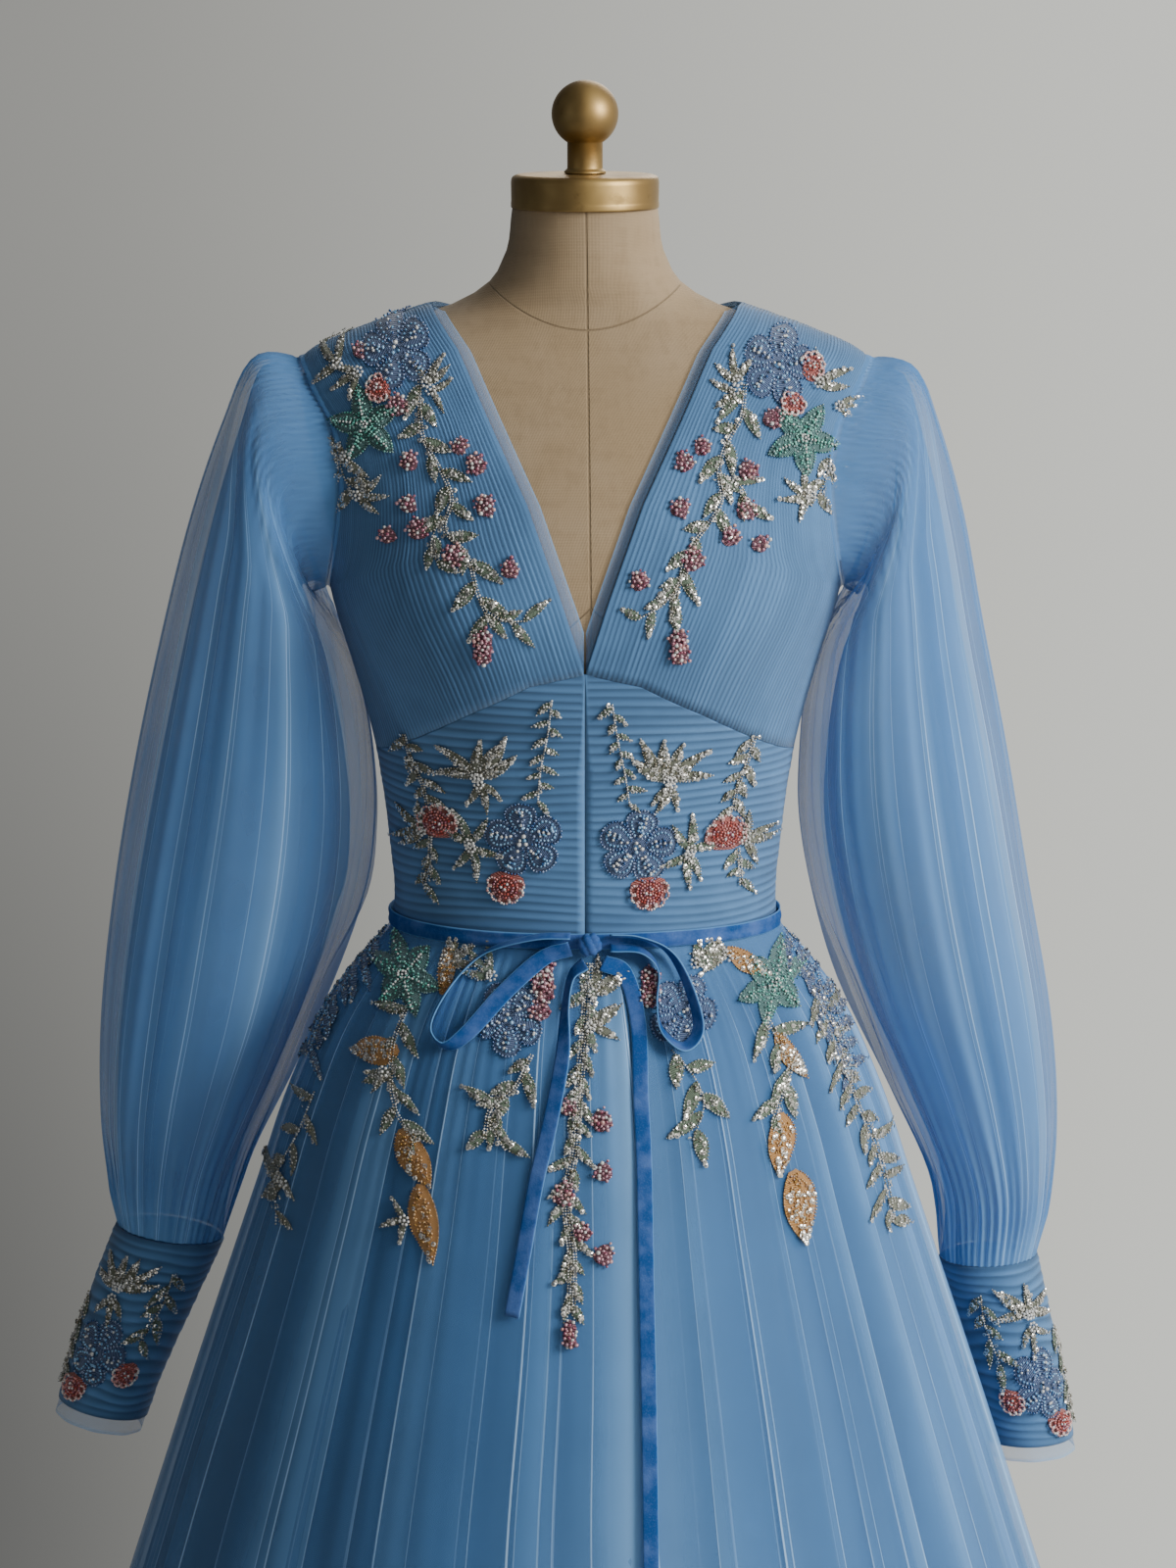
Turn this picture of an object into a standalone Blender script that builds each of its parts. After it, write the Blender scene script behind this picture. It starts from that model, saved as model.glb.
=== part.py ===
"""A-line gown with bishop sleeves, worn on a limbless dress form on a round stand.

Metres, +Z up, the front of the gown faces -Y, +X is on the viewer's right.
The origin is the centre of the underside of the stand's base.
"""
import math

import bpy
import numpy as np

# Driving dimensions
FORM_TOP_Z = 1.512        # top of the neck, under the brass cap
FORM_BOTTOM_Z = 0.790     # underside of the form's hips
CAP_RADIUS = 0.0468
CAP_HEIGHT = 0.0215
BALL_RADIUS = 0.0211
STEM_RADIUS = 0.0112
BALL_Z = 1.5713
POLE_RADIUS = 0.016
BASE_RADIUS = 0.195
BASE_HEIGHT = 0.022
SEAT = 0.0003             # gap left at every seam and seat
SEAM_ANGLE = 0.0020       # half the gap at the side and centre back seams, radians

WAIST_Z = 1.0575
HEM_Z = 0.014
EMPIRE_SIDE_Z = 1.1715
EMPIRE_GAP = 0.0012
CLOTH_IN = 0.0024         # form surface to the cloth's inner face
FORM_EASE = 0.0018        # the form is this much slimmer under the cloth
CLOTH_WALL = 0.0018       # bodice and midriff wall
PLEAT_RISE = 0.0012       # height of the pin pleats

BODICE_PLEATS = 16
BACK_PLEATS = 8
MIDRIFF_PLEATS = 18
SKIRT_FOLDS = 20          # in each half of the overlay
SLEEVE_FOLDS = 16
CUFF_PLEATS = 6
SKIRT_WALL = 0.0016
LINING_WALL = 0.0012
SLEEVE_WALL = 0.0018
HEAD_GAP = 0.0026          # the sleeve head stands clear of the armhole edge
CUFF_WALL = 0.0022

BELT_HEIGHT = 0.0100
BELT_WALL = 0.0014
BELT_Z = WAIST_Z + 0.0015
BELT_SAG = 0.0025          # the belt's flats stay clear of the seam under it
RIBBON_WIDTH = 0.0095
RIBBON_WALL = 0.0012

# Form sections: height, half width, front depth, back depth, centre y
TORSO_COLUMNS = ("z", "half_width", "front", "back", "centre_y")
TORSO = [
    (0.790, 0.150, 0.112, 0.120, 0.000),
    (0.830, 0.160, 0.116, 0.128, 0.000),
    (0.890, 0.163, 0.112, 0.130, 0.000),
    (0.950, 0.155, 0.104, 0.124, 0.000),
    (1.000, 0.138, 0.096, 0.108, 0.000),
    (1.040, 0.122, 0.087, 0.092, 0.000),
    (1.070, 0.1185, 0.085, 0.088, 0.000),
    (1.110, 0.1215, 0.088, 0.090, 0.000),
    (1.150, 0.1265, 0.094, 0.096, 0.000),
    (1.185, 0.1330, 0.103, 0.102, 0.000),
    (1.225, 0.1440, 0.116, 0.108, 0.000),
    (1.265, 0.1560, 0.121, 0.110, 0.000),
    (1.305, 0.1640, 0.112, 0.110, 0.002),
    (1.345, 0.1720, 0.098, 0.106, 0.004),
    (1.380, 0.1800, 0.084, 0.096, 0.007),
    (1.405, 0.1820, 0.072, 0.082, 0.009),
    (1.420, 0.1700, 0.062, 0.072, 0.010),
    (1.432, 0.1430, 0.057, 0.064, 0.011),
    (1.443, 0.1130, 0.053, 0.058, 0.011),
    (1.453, 0.0840, 0.051, 0.054, 0.010),
    (1.463, 0.0640, 0.050, 0.052, 0.008),
    (1.480, 0.0520, 0.048, 0.050, 0.006),
    (1.512, 0.0460, 0.0455, 0.0465, 0.003),
]

# Skirt sections: height, half width, front depth, back depth
SKIRT_COLUMNS = ("z", "half_width", "front", "back")
SKIRT = [
    (0.000, 0.492, 0.455, 0.470),
    (0.300, 0.395, 0.362, 0.378),
    (0.620, 0.292, 0.268, 0.284),
    (0.755, 0.249, 0.228, 0.246),
    (0.885, 0.206, 0.184, 0.206),
    (0.950, 0.184, 0.158, 0.182),
    (1.008, 0.156, 0.124, 0.148),
    (1.036, 0.1345, 0.1000, 0.1080),
    (1.052, 0.1212, 0.0874, 0.0914),
    (1.0575, 0.1204, 0.0866, 0.0906),
]

# Sleeve sections: centre y, half depth, outer x and z, inner x and z
SLEEVE_COLUMNS = ("y", "half_depth", "outer_x", "outer_z", "inner_x", "inner_z")
SLEEVE_LEFT = [
    (0.010, 0.056, 0.2100, 1.4150, 0.1790, 1.2680),
    (0.012, 0.064, 0.2290, 1.3750, 0.1690, 1.2440),
    (0.016, 0.067, 0.2490, 1.3162, 0.1580, 1.2060),
    (0.024, 0.068, 0.2690, 1.2400, 0.1480, 1.1620),
    (0.034, 0.068, 0.2890, 1.1550, 0.1420, 1.1150),
    (0.048, 0.068, 0.3060, 1.0700, 0.1460, 1.0640),
    (0.064, 0.066, 0.3180, 0.9850, 0.1640, 1.0020),
    (0.082, 0.060, 0.3215, 0.9150, 0.1960, 0.9350),
    (0.094, 0.048, 0.3170, 0.8640, 0.2260, 0.8760),
    (0.100, 0.034, 0.3120, 0.8290, 0.2450, 0.8190),
]
SLEEVE_RIGHT = [
    (0.010, 0.056, 0.2080, 1.4080, 0.1790, 1.2680),
    (0.012, 0.062, 0.2240, 1.3700, 0.1680, 1.2480),
    (0.016, 0.064, 0.2400, 1.3160, 0.1570, 1.2120),
    (0.024, 0.065, 0.2540, 1.2500, 0.1480, 1.1680),
    (0.034, 0.066, 0.2720, 1.1650, 0.1430, 1.1180),
    (0.048, 0.066, 0.2880, 1.0750, 0.1500, 1.0640),
    (0.064, 0.064, 0.3040, 0.9850, 0.1680, 1.0020),
    (0.084, 0.058, 0.3110, 0.9100, 0.2020, 0.9300),
    (0.100, 0.046, 0.3090, 0.8500, 0.2340, 0.8600),
    (0.108, 0.032, 0.3020, 0.8060, 0.2410, 0.8030),
]
# Cuff sections: centre y, half depth, outer x and z, inner x and z
CUFF_LEFT = [
    (0.1004, 0.0345, 0.3131, 0.8271, 0.2448, 0.8171),
    (0.1020, 0.0330, 0.3290, 0.7860, 0.2640, 0.7760),
    (0.1040, 0.0310, 0.3460, 0.7330, 0.2880, 0.7230),
    (0.1060, 0.0310, 0.3570, 0.6960, 0.3020, 0.6830),
]
CUFF_RIGHT = [
    (0.1083, 0.0325, 0.3025, 0.8050, 0.2405, 0.8020),
    (0.1090, 0.0320, 0.3120, 0.7620, 0.2510, 0.7620),
    (0.1100, 0.0310, 0.3240, 0.7050, 0.2660, 0.7060),
    (0.1110, 0.0310, 0.3310, 0.6680, 0.2740, 0.6660),
]

# Front opening: height and half width of the V from the shoulder seam down
NECK_V = [
    (1.4480, 0.0960), (1.4252, 0.0790), (1.3853, 0.0600),
    (1.3344, 0.0355), (1.2743, 0.0135), (1.2362, 0.0008),
]
# Empire seam: half width and height from the centre to the side seam
EMPIRE = [
    (0.0000, 1.2345), (0.0347, 1.2262), (0.0716, 1.2065),
    (0.1034, 1.1866), (0.1240, 1.1745), (0.1300, EMPIRE_SIDE_Z),
]
# Back neck: height and half width from the shoulder seam to the centre back
BACK_V = [(1.4480, 0.0960), (1.4360, 0.0620), (1.4270, 0.0300), (1.4240, 0.0008)]

ARM_TOP_Z = 1.4130
ARM_LOW_Z = 1.2760
ARM_HALF_DEPTH = 0.047

# Applied flowers: name, x, z, outer radius, petals, height over the pleats, panel
FLOWER_COLUMNS = ("name", "x", "z", "radius", "petals", "seat", "panel")
FLOWERS = [
    ("shoulder_flower_left", -0.1165, 1.4200, 0.0200, 5, 0.0016, "bodice"),
    ("shoulder_flower_right", 0.1215, 1.4120, 0.0200, 5, 0.0011, "bodice"),
    ("shoulder_star_left", -0.1310, 1.3740, 0.0200, 6, 0.0008, "bodice"),
    ("shoulder_star_right", 0.1310, 1.3680, 0.0200, 6, 0.0008, "bodice"),
    ("midriff_flower_left", -0.0360, 1.1290, 0.0220, 5, 0.0005, "bodice"),
    ("midriff_flower_right", 0.0335, 1.1235, 0.0220, 5, 0.0005, "bodice"),
    ("midriff_blossom_left", -0.0500, 1.0880, 0.0140, 5, 0.0005, "bodice"),
    ("midriff_blossom_right", 0.0395, 1.0840, 0.0140, 5, 0.0005, "bodice"),
    ("hip_star_left", -0.1090, 1.0260, 0.0190, 6, 0.0016, "skirt"),
    ("hip_star_right", 0.1140, 1.0210, 0.0190, 6, 0.0016, "skirt"),
    ("hip_flower_left", -0.0450, 1.0110, 0.0185, 5, 0.0012, "skirt"),
    ("hip_flower_right", 0.0600, 1.0190, 0.0195, 5, 0.0012, "skirt"),
]

BLUE = (0.16, 0.34, 0.66)
COLORS = {
    "linen": ((0.52, 0.46, 0.36), 0.9, 0.0),
    "brass": ((0.42, 0.30, 0.14), 0.42, 1.0),
    "pole": ((0.30, 0.22, 0.11), 0.45, 1.0),
    "tulle": (BLUE, 0.8, 0.0),
    "lining": ((0.10, 0.24, 0.55), 0.75, 0.0),
    "velvet": ((0.03, 0.16, 0.46), 0.85, 0.0),
    "flower": ((0.20, 0.42, 0.78), 0.7, 0.0),
    "star": ((0.10, 0.48, 0.55), 0.7, 0.0),
    "blossom": ((0.80, 0.36, 0.34), 0.7, 0.0),
}


def clear_scene():
    for obj in list(bpy.data.objects):
        bpy.data.objects.remove(obj, do_unlink=True)


def material(name):
    found = bpy.data.materials.get(name)
    if found:
        return found
    color, rough, metal = COLORS[name]
    mat = bpy.data.materials.new(name)
    mat.use_nodes = True
    shader = mat.node_tree.nodes["Principled BSDF"]
    shader.inputs["Base Color"].default_value = (*color, 1.0)
    shader.inputs["Roughness"].default_value = rough
    shader.inputs["Metallic"].default_value = metal
    mat.diffuse_color = (*color, 1.0)
    return mat


def column(table, names, key):
    return np.array([row[names.index(key)] for row in table], dtype=float)


def smooth_lookup(x, xs, ys):
    """Cubic through the rows (Catmull-Rom slopes), so sections join smoothly."""
    x = np.clip(np.asarray(x, dtype=float), xs[0], xs[-1])
    slope = np.gradient(ys, xs)
    i = np.clip(np.searchsorted(xs, x, side="right") - 1, 0, len(xs) - 2)
    h = xs[i + 1] - xs[i]
    t = (x - xs[i]) / h
    a = (1 + 2 * t) * (1 - t) ** 2 * ys[i] + t * (1 - t) ** 2 * h * slope[i]
    b = t * t * (3 - 2 * t) * ys[i + 1] + t * t * (t - 1) * h * slope[i + 1]
    return a + b


def torso_section(z):
    zs = column(TORSO, TORSO_COLUMNS, "z")
    return [smooth_lookup(z, zs, column(TORSO, TORSO_COLUMNS, key))
            for key in TORSO_COLUMNS[1:]]


def skirt_section(z):
    zs = column(SKIRT, SKIRT_COLUMNS, "z")
    return [smooth_lookup(z, zs, column(SKIRT, SKIRT_COLUMNS, key))
            for key in SKIRT_COLUMNS[1:]]


def torso_point(theta, z):
    """Point of the form; theta is 0 at the front centre and 90 degrees at +X."""
    hw, front, back, cy = torso_section(z)
    side = np.sin(theta)
    ahead = np.cos(theta)
    bust = 0.010 * np.exp(-((np.abs(theta) - 0.62) / 0.34) ** 2 - ((z - 1.262) / 0.040) ** 2)
    depth = np.where(ahead > 0, front, back) + bust
    return np.stack([hw * side, cy - depth * ahead, np.broadcast_to(z, np.shape(side)) + 0 * side], -1)


def skirt_point(theta, z):
    hw, front, back = skirt_section(z)
    side = np.sin(theta)
    ahead = np.cos(theta)
    depth = np.where(ahead > 0, front, back)
    return np.stack([hw * side, -depth * ahead, z + 0 * side], -1)


def off(point, theta, z, distance, level=False):
    """The surface point moved out along the surface normal, or level along it."""
    step = 1e-4
    along = point(theta + step, z) - point(theta - step, z)
    up = point(theta, z + step) - point(theta, z - step)
    normal = np.cross(along, up)
    if level:
        normal[..., 2] = 0
    normal /= np.linalg.norm(normal, axis=-1, keepdims=True)
    distance = np.asarray(distance, dtype=float)
    return point(theta, z) + normal * distance[..., None]


def angle_on_torso(x, y, z):
    hw, front, back, cy = torso_section(z)
    ahead = cy - y
    depth = np.where(ahead > 0, front, back)
    return np.arctan2(x / hw, ahead / depth)


def front_angle(x, z):
    """Angle of the front point that lies at x."""
    hw = torso_section(z)[0]
    return np.arcsin(np.clip(x / hw, -1.0, 1.0))


class Shell:
    """A closed cloth wall from an outer grid and a coarser inner grid."""

    def __init__(self):
        self.points = []
        self.faces = []

    def add(self, grid):
        rows, cols, _ = grid.shape
        start = len(self.points)
        self.points.extend(grid.reshape(-1, 3).tolist())
        return start + np.arange(rows * cols).reshape(rows, cols)

    def skin(self, ids, flip, closed):
        rows, cols = ids.shape
        for i in range(rows - 1):
            for j in range(cols if closed else cols - 1):
                k = (j + 1) % cols
                quad = [ids[i, j], ids[i + 1, j], ids[i + 1, k], ids[i, k]]
                self.faces.append(quad[::-1] if flip else quad)

    def rim(self, fine, coarse, flip):
        """Triangles from a fine edge to a coarse edge that runs beside it."""
        step = (len(fine) - 1) // (len(coarse) - 1)
        for j in range(len(coarse) - 1):
            part = fine[j * step:(j + 1) * step + 1]
            half = (step + 1) // 2
            a, b = coarse[j], coarse[j + 1]
            for i in range(step):
                near = a if i < half else b
                tri = [part[i], part[i + 1], near]
                self.faces.append(tri[::-1] if flip else tri)
            tri = [part[half], b, a]
            self.faces.append(tri[::-1] if flip else tri)


def make_object(name, points, faces, mat, parts):
    mesh = bpy.data.meshes.new(name)
    mesh.from_pydata([tuple(p) for p in points], [], [tuple(int(i) for i in f) for f in faces])
    mesh.update()
    mesh.materials.append(material(mat))
    mesh.shade_smooth()
    obj = bpy.data.objects.new(name, mesh)
    parts.objects.link(obj)
    return obj


def wall(name, outer, inner, mat, parts, closed=False):
    """Outer grid rows run down, columns run to +X seen from outside."""
    shell = Shell()
    out_ids = shell.add(outer)
    in_ids = shell.add(inner)
    shell.skin(out_ids, False, closed)
    shell.skin(in_ids, True, closed)
    if closed:
        out_ids = np.hstack([out_ids, out_ids[:, :1]])
        in_ids = np.hstack([in_ids, in_ids[:, :1]])
    shell.rim(out_ids[0], in_ids[0], False)
    shell.rim(out_ids[-1], in_ids[-1], True)
    if not closed:
        shell.rim(out_ids[:, 0], in_ids[:, 0], True)
        shell.rim(out_ids[:, -1], in_ids[:, -1], False)
    return make_object(name, shell.points, shell.faces, mat, parts)


def turned(name, profile, mat, parts, segments):
    """Closed turned solid from a profile of radius and height, top to bottom."""
    mesh = bpy.data.meshes.new(name)
    points = [(r, 0.0, z) for r, z in profile]
    mesh.from_pydata(points, [(i, i + 1) for i in range(len(points) - 1)], [])
    mesh.materials.append(material(mat))
    obj = bpy.data.objects.new(name, mesh)
    parts.objects.link(obj)
    screw = obj.modifiers.new("turn", "SCREW")
    screw.axis = "Z"
    screw.steps = segments
    screw.render_steps = segments
    screw.use_merge_vertices = True
    screw.merge_threshold = 0.0001
    screw.use_normal_calculate = True
    screw.use_smooth_shade = True
    return obj


# Dress form and stand

def build_form(parts):
    around = 28
    zs = np.concatenate([[FORM_TOP_Z, 1.492, 1.475, 1.463, 1.453, 1.443, 1.434, 1.426,
                          1.418, 1.410, 1.401],
                         np.linspace(1.385, 1.160, 9)[:-1],
                         np.linspace(1.160, 1.000, 8)[:-1],
                         np.linspace(1.000, FORM_BOTTOM_Z, 5)])
    theta = np.linspace(0, 2 * math.pi, around, endpoint=False)
    theta = np.where(theta > math.pi, theta - 2 * math.pi, theta)[None, :] + 0 * zs[:, None]
    z = zs[:, None] + 0 * theta
    ease = FORM_EASE * np.clip((1.463 - z) / 0.007, 0, 1)
    grid = off(torso_point, theta, z, -ease)
    shell = Shell()
    ids = shell.add(grid)
    shell.skin(ids, False, True)
    shell.faces.append(list(ids[0]))
    shell.faces.append(list(ids[-1][::-1]))
    make_object("form_torso", shell.points, shell.faces, "linen", parts)


def build_stand(parts):
    top = FORM_TOP_Z + SEAT
    cap = [(0, top + CAP_HEIGHT), (CAP_RADIUS - 0.0045, top + CAP_HEIGHT),
           (CAP_RADIUS - 0.0012, top + CAP_HEIGHT - 0.0015),
           (CAP_RADIUS, top + CAP_HEIGHT - 0.004), (CAP_RADIUS, top), (0, top)]
    turned("neck_cap", cap[::-1], "brass", parts, 24)
    seat = top + CAP_HEIGHT + SEAT
    ball = [(0, BALL_Z + BALL_RADIUS)]
    low = -math.acos(STEM_RADIUS / BALL_RADIUS)
    for i in range(1, 8):
        a = math.pi / 2 + (low - math.pi / 2) * i / 7
        ball.append((BALL_RADIUS * math.cos(a), BALL_Z + BALL_RADIUS * math.sin(a)))
    ball += [(STEM_RADIUS, seat + 0.002), (STEM_RADIUS + 0.002, seat), (0, seat)]
    turned("finial", ball, "brass", parts, 20)
    pole_top = FORM_BOTTOM_Z - SEAT
    pole_low = BASE_HEIGHT + SEAT
    collar = POLE_RADIUS + 0.012
    pole = [(0, pole_top), (0.05, pole_top), (0.05, pole_top - 0.006),
            (collar, pole_top - 0.008), (POLE_RADIUS, pole_top - 0.040),
            (POLE_RADIUS, pole_low + 0.045), (collar, pole_low + 0.010),
            (collar, pole_low), (0, pole_low)]
    turned("stand_pole", pole, "pole", parts, 16)
    edge = BASE_RADIUS
    base = [(0, BASE_HEIGHT), (0.05, BASE_HEIGHT), (edge - 0.02, BASE_HEIGHT - 0.009),
            (edge, 0.008), (edge, 0.0), (0, 0.0)]
    turned("stand_base", base[::-1], "pole", parts, 24)


# Bodice and midriff

def along_curve(points, shares):
    """Points of a polyline at the given shares of its length."""
    data = np.array(points, dtype=float)
    dist = np.concatenate([[0], np.cumsum(np.linalg.norm(np.diff(data, axis=0), axis=1))])
    at = np.asarray(shares) * dist[-1]
    return np.stack([np.interp(at, dist, data[:, k]) for k in range(data.shape[1])], -1)


def armhole(phi, grow=0.0):
    """Armhole on the form: phi 0 at the shoulder tip, 90 front, 180 underarm."""
    middle = (ARM_TOP_Z + ARM_LOW_Z) / 2
    half = (ARM_TOP_Z - ARM_LOW_Z) / 2 + grow
    z = middle + half * np.cos(phi)
    hw, front, back, cy = torso_section(z)
    y = cy - (ARM_HALF_DEPTH + grow) * np.sin(phi)
    depth = np.where(y < cy, front, back)
    x = hw * np.sqrt(np.clip(1 - ((y - cy) / depth) ** 2, 0, 1))
    return np.stack([x, y, z], -1)


def torso_xyz(x, z, front):
    """Point of the form's front or back that lies at x and z."""
    theta = front_angle(x, z)
    if not front:
        theta = math.pi - theta
    return torso_point(theta, z)


def bodice_grid(front, rows, cols):
    """Angle and height of a bodice panel: row 0 at the shoulder, column 0 at the centre."""
    u = np.linspace(0, 1, rows) ** 1.4
    v = np.linspace(0, 1, cols)
    sign = 1 if front else -1
    edge = math.pi / 2 - sign * SEAM_ANGLE
    low = EMPIRE_SIDE_Z + SEAT / 2
    table = NECK_V if front else BACK_V + [(low, SEAT / 2)]
    opening = along_curve(table, u)
    centre = torso_xyz(opening[:, 1], opening[:, 0], front)
    dense = np.linspace(0, 1, 25)
    arm = armhole(sign * math.pi * dense, 0.0004)
    seam_z = ARM_LOW_Z + (low - ARM_LOW_Z) * dense[1:]
    side = torso_point(np.full(seam_z.shape, edge), seam_z)
    outer = along_curve(np.concatenate([arm, side]), u)
    if front:
        seam = along_curve(EMPIRE, np.linspace(0, 1, 97))
        seam = torso_xyz(np.clip(seam[:, 0], SEAT, None), seam[:, 1] + SEAT / 2, True)
        base = along_curve(np.concatenate([seam, torso_point(np.array([edge]), low)]), v)
    else:
        ang = np.linspace(math.pi - SEAM_ANGLE, edge, cols)
        base = torso_point(ang, np.full(cols, low))
    top_z = opening[0, 0] + (ARM_TOP_Z + 0.0004 - opening[0, 0]) * v
    top = torso_point(np.full(cols, edge), top_z)
    centre[0] = top[0]
    outer[0] = top[-1]
    base[0] = centre[-1]
    base[-1] = outer[-1]
    U = u[:, None, None]
    V = v[None, :, None]
    grid = ((1 - V) * centre[:, None] + V * outer[:, None] + (1 - U) * top[None] + U * base[None]
            - (1 - U) * (1 - V) * top[0] - (1 - U) * V * top[-1]
            - U * (1 - V) * base[0] - U * V * base[-1])
    theta = angle_on_torso(grid[..., 0], grid[..., 1], grid[..., 2])
    theta = np.minimum(theta, edge) if front else np.maximum(theta, edge)
    return theta, grid[..., 2]


def build_bodice(parts):
    for front in (True, False):
        pleats = BODICE_PLEATS if front else BACK_PLEATS
        cols = 2 * pleats + 1
        rows = 10
        theta, z = bodice_grid(front, rows, cols)
        v = np.linspace(0, 1, cols)[None, :]
        u = np.linspace(0, 1, rows)[:, None]
        fade = np.clip(np.minimum(v, 1 - v) * 12, 0, 1) * np.clip((1 - u) * 8, 0.35, 1)
        raised = PLEAT_RISE * (np.arange(cols) % 2)[None, :] * fade
        for side in (-1, 1):
            out = off(torso_point, theta, z, CLOTH_IN + CLOTH_WALL + raised)
            inn = off(torso_point, theta, z, CLOTH_IN + 0 * z)[:, ::4 if front else 2]
            if side < 0:
                out[..., 0] *= -1
                inn[..., 0] *= -1
            if (side > 0) != front:
                out, inn = out[:, ::-1], inn[:, ::-1]
            name = "bodice_%s_%s" % ("front" if front else "back", "right" if side > 0 else "left")
            wall(name, out, inn, "tulle", parts)


def midriff_half_width(z):
    """Largest angle of the front midriff at each height: the empire seam, then the side."""
    data = np.array(EMPIRE)[::-1]
    x = np.interp(z, data[:, 1] - EMPIRE_GAP, data[:, 0])
    x = np.clip(x, 0.006, None)
    arch = front_angle(x, z)
    return np.where(z <= EMPIRE_SIDE_Z - EMPIRE_GAP, math.pi / 2, arch) - SEAM_ANGLE


def build_midriff(parts):
    low = WAIST_Z + SEAT
    for front in (True, False):
        pleats = MIDRIFF_PLEATS if front else 10
        top = 1.2300 if front else EMPIRE_SIDE_Z - SEAT / 2
        rows = 2 * pleats + 1
        z = np.linspace(top, low, rows)[:, None]
        cols = 7
        v = np.linspace(0, 1, cols)[None, :]
        wide = midriff_half_width(z) if front else np.full(z.shape, math.pi / 2 - SEAM_ANGLE)
        start = SEAT / 2 / 0.12
        theta = start + (wide - start) * v
        if not front:
            theta = math.pi - theta
        z = z + 0 * theta
        ramp = np.clip(np.minimum(np.arange(rows), rows - 1 - np.arange(rows)) / 2, 0, 1)
        raised = (PLEAT_RISE * (np.arange(rows) % 2) * ramp)[:, None] + 0 * z
        for side in (-1, 1):
            out = off(torso_point, theta, z, CLOTH_IN + CLOTH_WALL + raised)
            inn = off(torso_point, theta, z, CLOTH_IN + 0 * z)[::2]
            if side < 0:
                out[..., 0] *= -1
                inn[..., 0] *= -1
            if (side > 0) != front:
                out, inn = out[:, ::-1], inn[:, ::-1]
            name = "midriff_%s_%s" % ("front" if front else "back", "right" if side > 0 else "left")
            wall(name, out, inn, "tulle", parts)


# Skirt

def fold_wave(theta, z, folds):
    """Height of the skirt's folds: none at the waist seam, deep and uneven at the hem."""
    s = np.clip((WAIST_Z - 0.006 - z) / (WAIST_Z - HEM_Z), 0, 1)
    depth = 0.0125 * s ** 0.75
    uneven = 0.72 + 0.28 * np.sin(3.1 * theta + 0.7) * np.sin(7.3 * theta + 1.9)
    return depth * uneven * folds


def build_skirt(parts):
    cols = 2 * SKIRT_FOLDS + 1
    zs = WAIST_Z - np.array([0.0002, 0.006, 0.020, 0.038, 0.065, 0.150, 0.420,
                             WAIST_Z - HEM_Z])
    lining_z = np.append(zs[:-1], HEM_Z + 0.010)
    for front in (True, False):
        half = math.pi / 2
        gap = np.interp(zs, [HEM_Z, WAIST_Z], [0.0005, 0.0016])[:, None]
        across = np.linspace(-1, 1, cols)[None, :]
        drift = 0.45 / SKIRT_FOLDS * np.sin(math.pi * across * 5.0) * np.cos(across * 2.1)
        theta = (across + drift * (1 - across ** 2)) * (half - gap)
        if not front:
            theta = theta + math.pi
            theta = np.where(theta > math.pi, theta - 2 * math.pi, theta)
        z = zs[:, None] + 0 * theta
        folds = (np.arange(cols) % 2)[None, :] * 1.0
        wave = fold_wave(theta, z, folds)
        mid = CLOTH_IN + LINING_WALL + SEAT
        out = off(skirt_point, theta, z, mid + SKIRT_WALL + wave, level=True)
        inn = off(skirt_point, theta, z, mid + wave, level=True)
        wall("skirt_overlay_" + ("front" if front else "back"), out, inn, "tulle", parts)
        lcols = 17
        gap = np.interp(lining_z, [HEM_Z, WAIST_Z], [0.0005, 0.0016])[:, None]
        theta = np.linspace(-1, 1, lcols)[None, :] * (half - gap)
        if not front:
            theta = theta + math.pi
            theta = np.where(theta > math.pi, theta - 2 * math.pi, theta)
        z = lining_z[:, None] + 0 * theta
        tuck = np.interp(z, [HEM_Z, 0.95, WAIST_Z], [0.0080, 0.0020, 0.0])
        out = off(skirt_point, theta, z, CLOTH_IN + LINING_WALL - tuck, level=True)
        inn = off(skirt_point, theta, z, CLOTH_IN - tuck, level=True)
        wall("skirt_lining_" + ("front" if front else "back"), out, inn, "lining", parts)


# Sleeves and cuffs

def ring_rows(table, count):
    """Rows of a sleeve table resampled evenly in number."""
    data = np.array(table, dtype=float)
    at = np.linspace(0, len(data) - 1, count)
    return np.stack([smooth_lookup(at, np.arange(len(data)) * 1.0, data[:, k])
                     for k in range(data.shape[1])], -1)


def ring_points(rows, phi):
    """Rings from sleeve rows: phi 0 at the outer side, 90 at the front."""
    y, b, ox, oz, ix, iz = [rows[:, k][:, None] for k in range(6)]
    cosp, sinp = np.cos(phi)[None, :], np.sin(phi)[None, :]
    return np.stack([(ox + ix) / 2 + (ox - ix) / 2 * cosp, y - b * sinp,
                     (oz + iz) / 2 + (oz - iz) / 2 * cosp], -1)


def grid_normal(grid):
    """Outward normal of a closed tube grid whose rows run down."""
    around = np.roll(grid, -1, 1) - np.roll(grid, 1, 1)
    down = np.gradient(grid, axis=0)
    normal = np.cross(around, down)
    centre = grid.mean(1, keepdims=True)
    sign = np.sign((normal * (grid - centre)).sum(-1, keepdims=True).sum(1, keepdims=True))
    normal = normal * sign
    return normal / np.linalg.norm(normal, axis=-1, keepdims=True)


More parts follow.
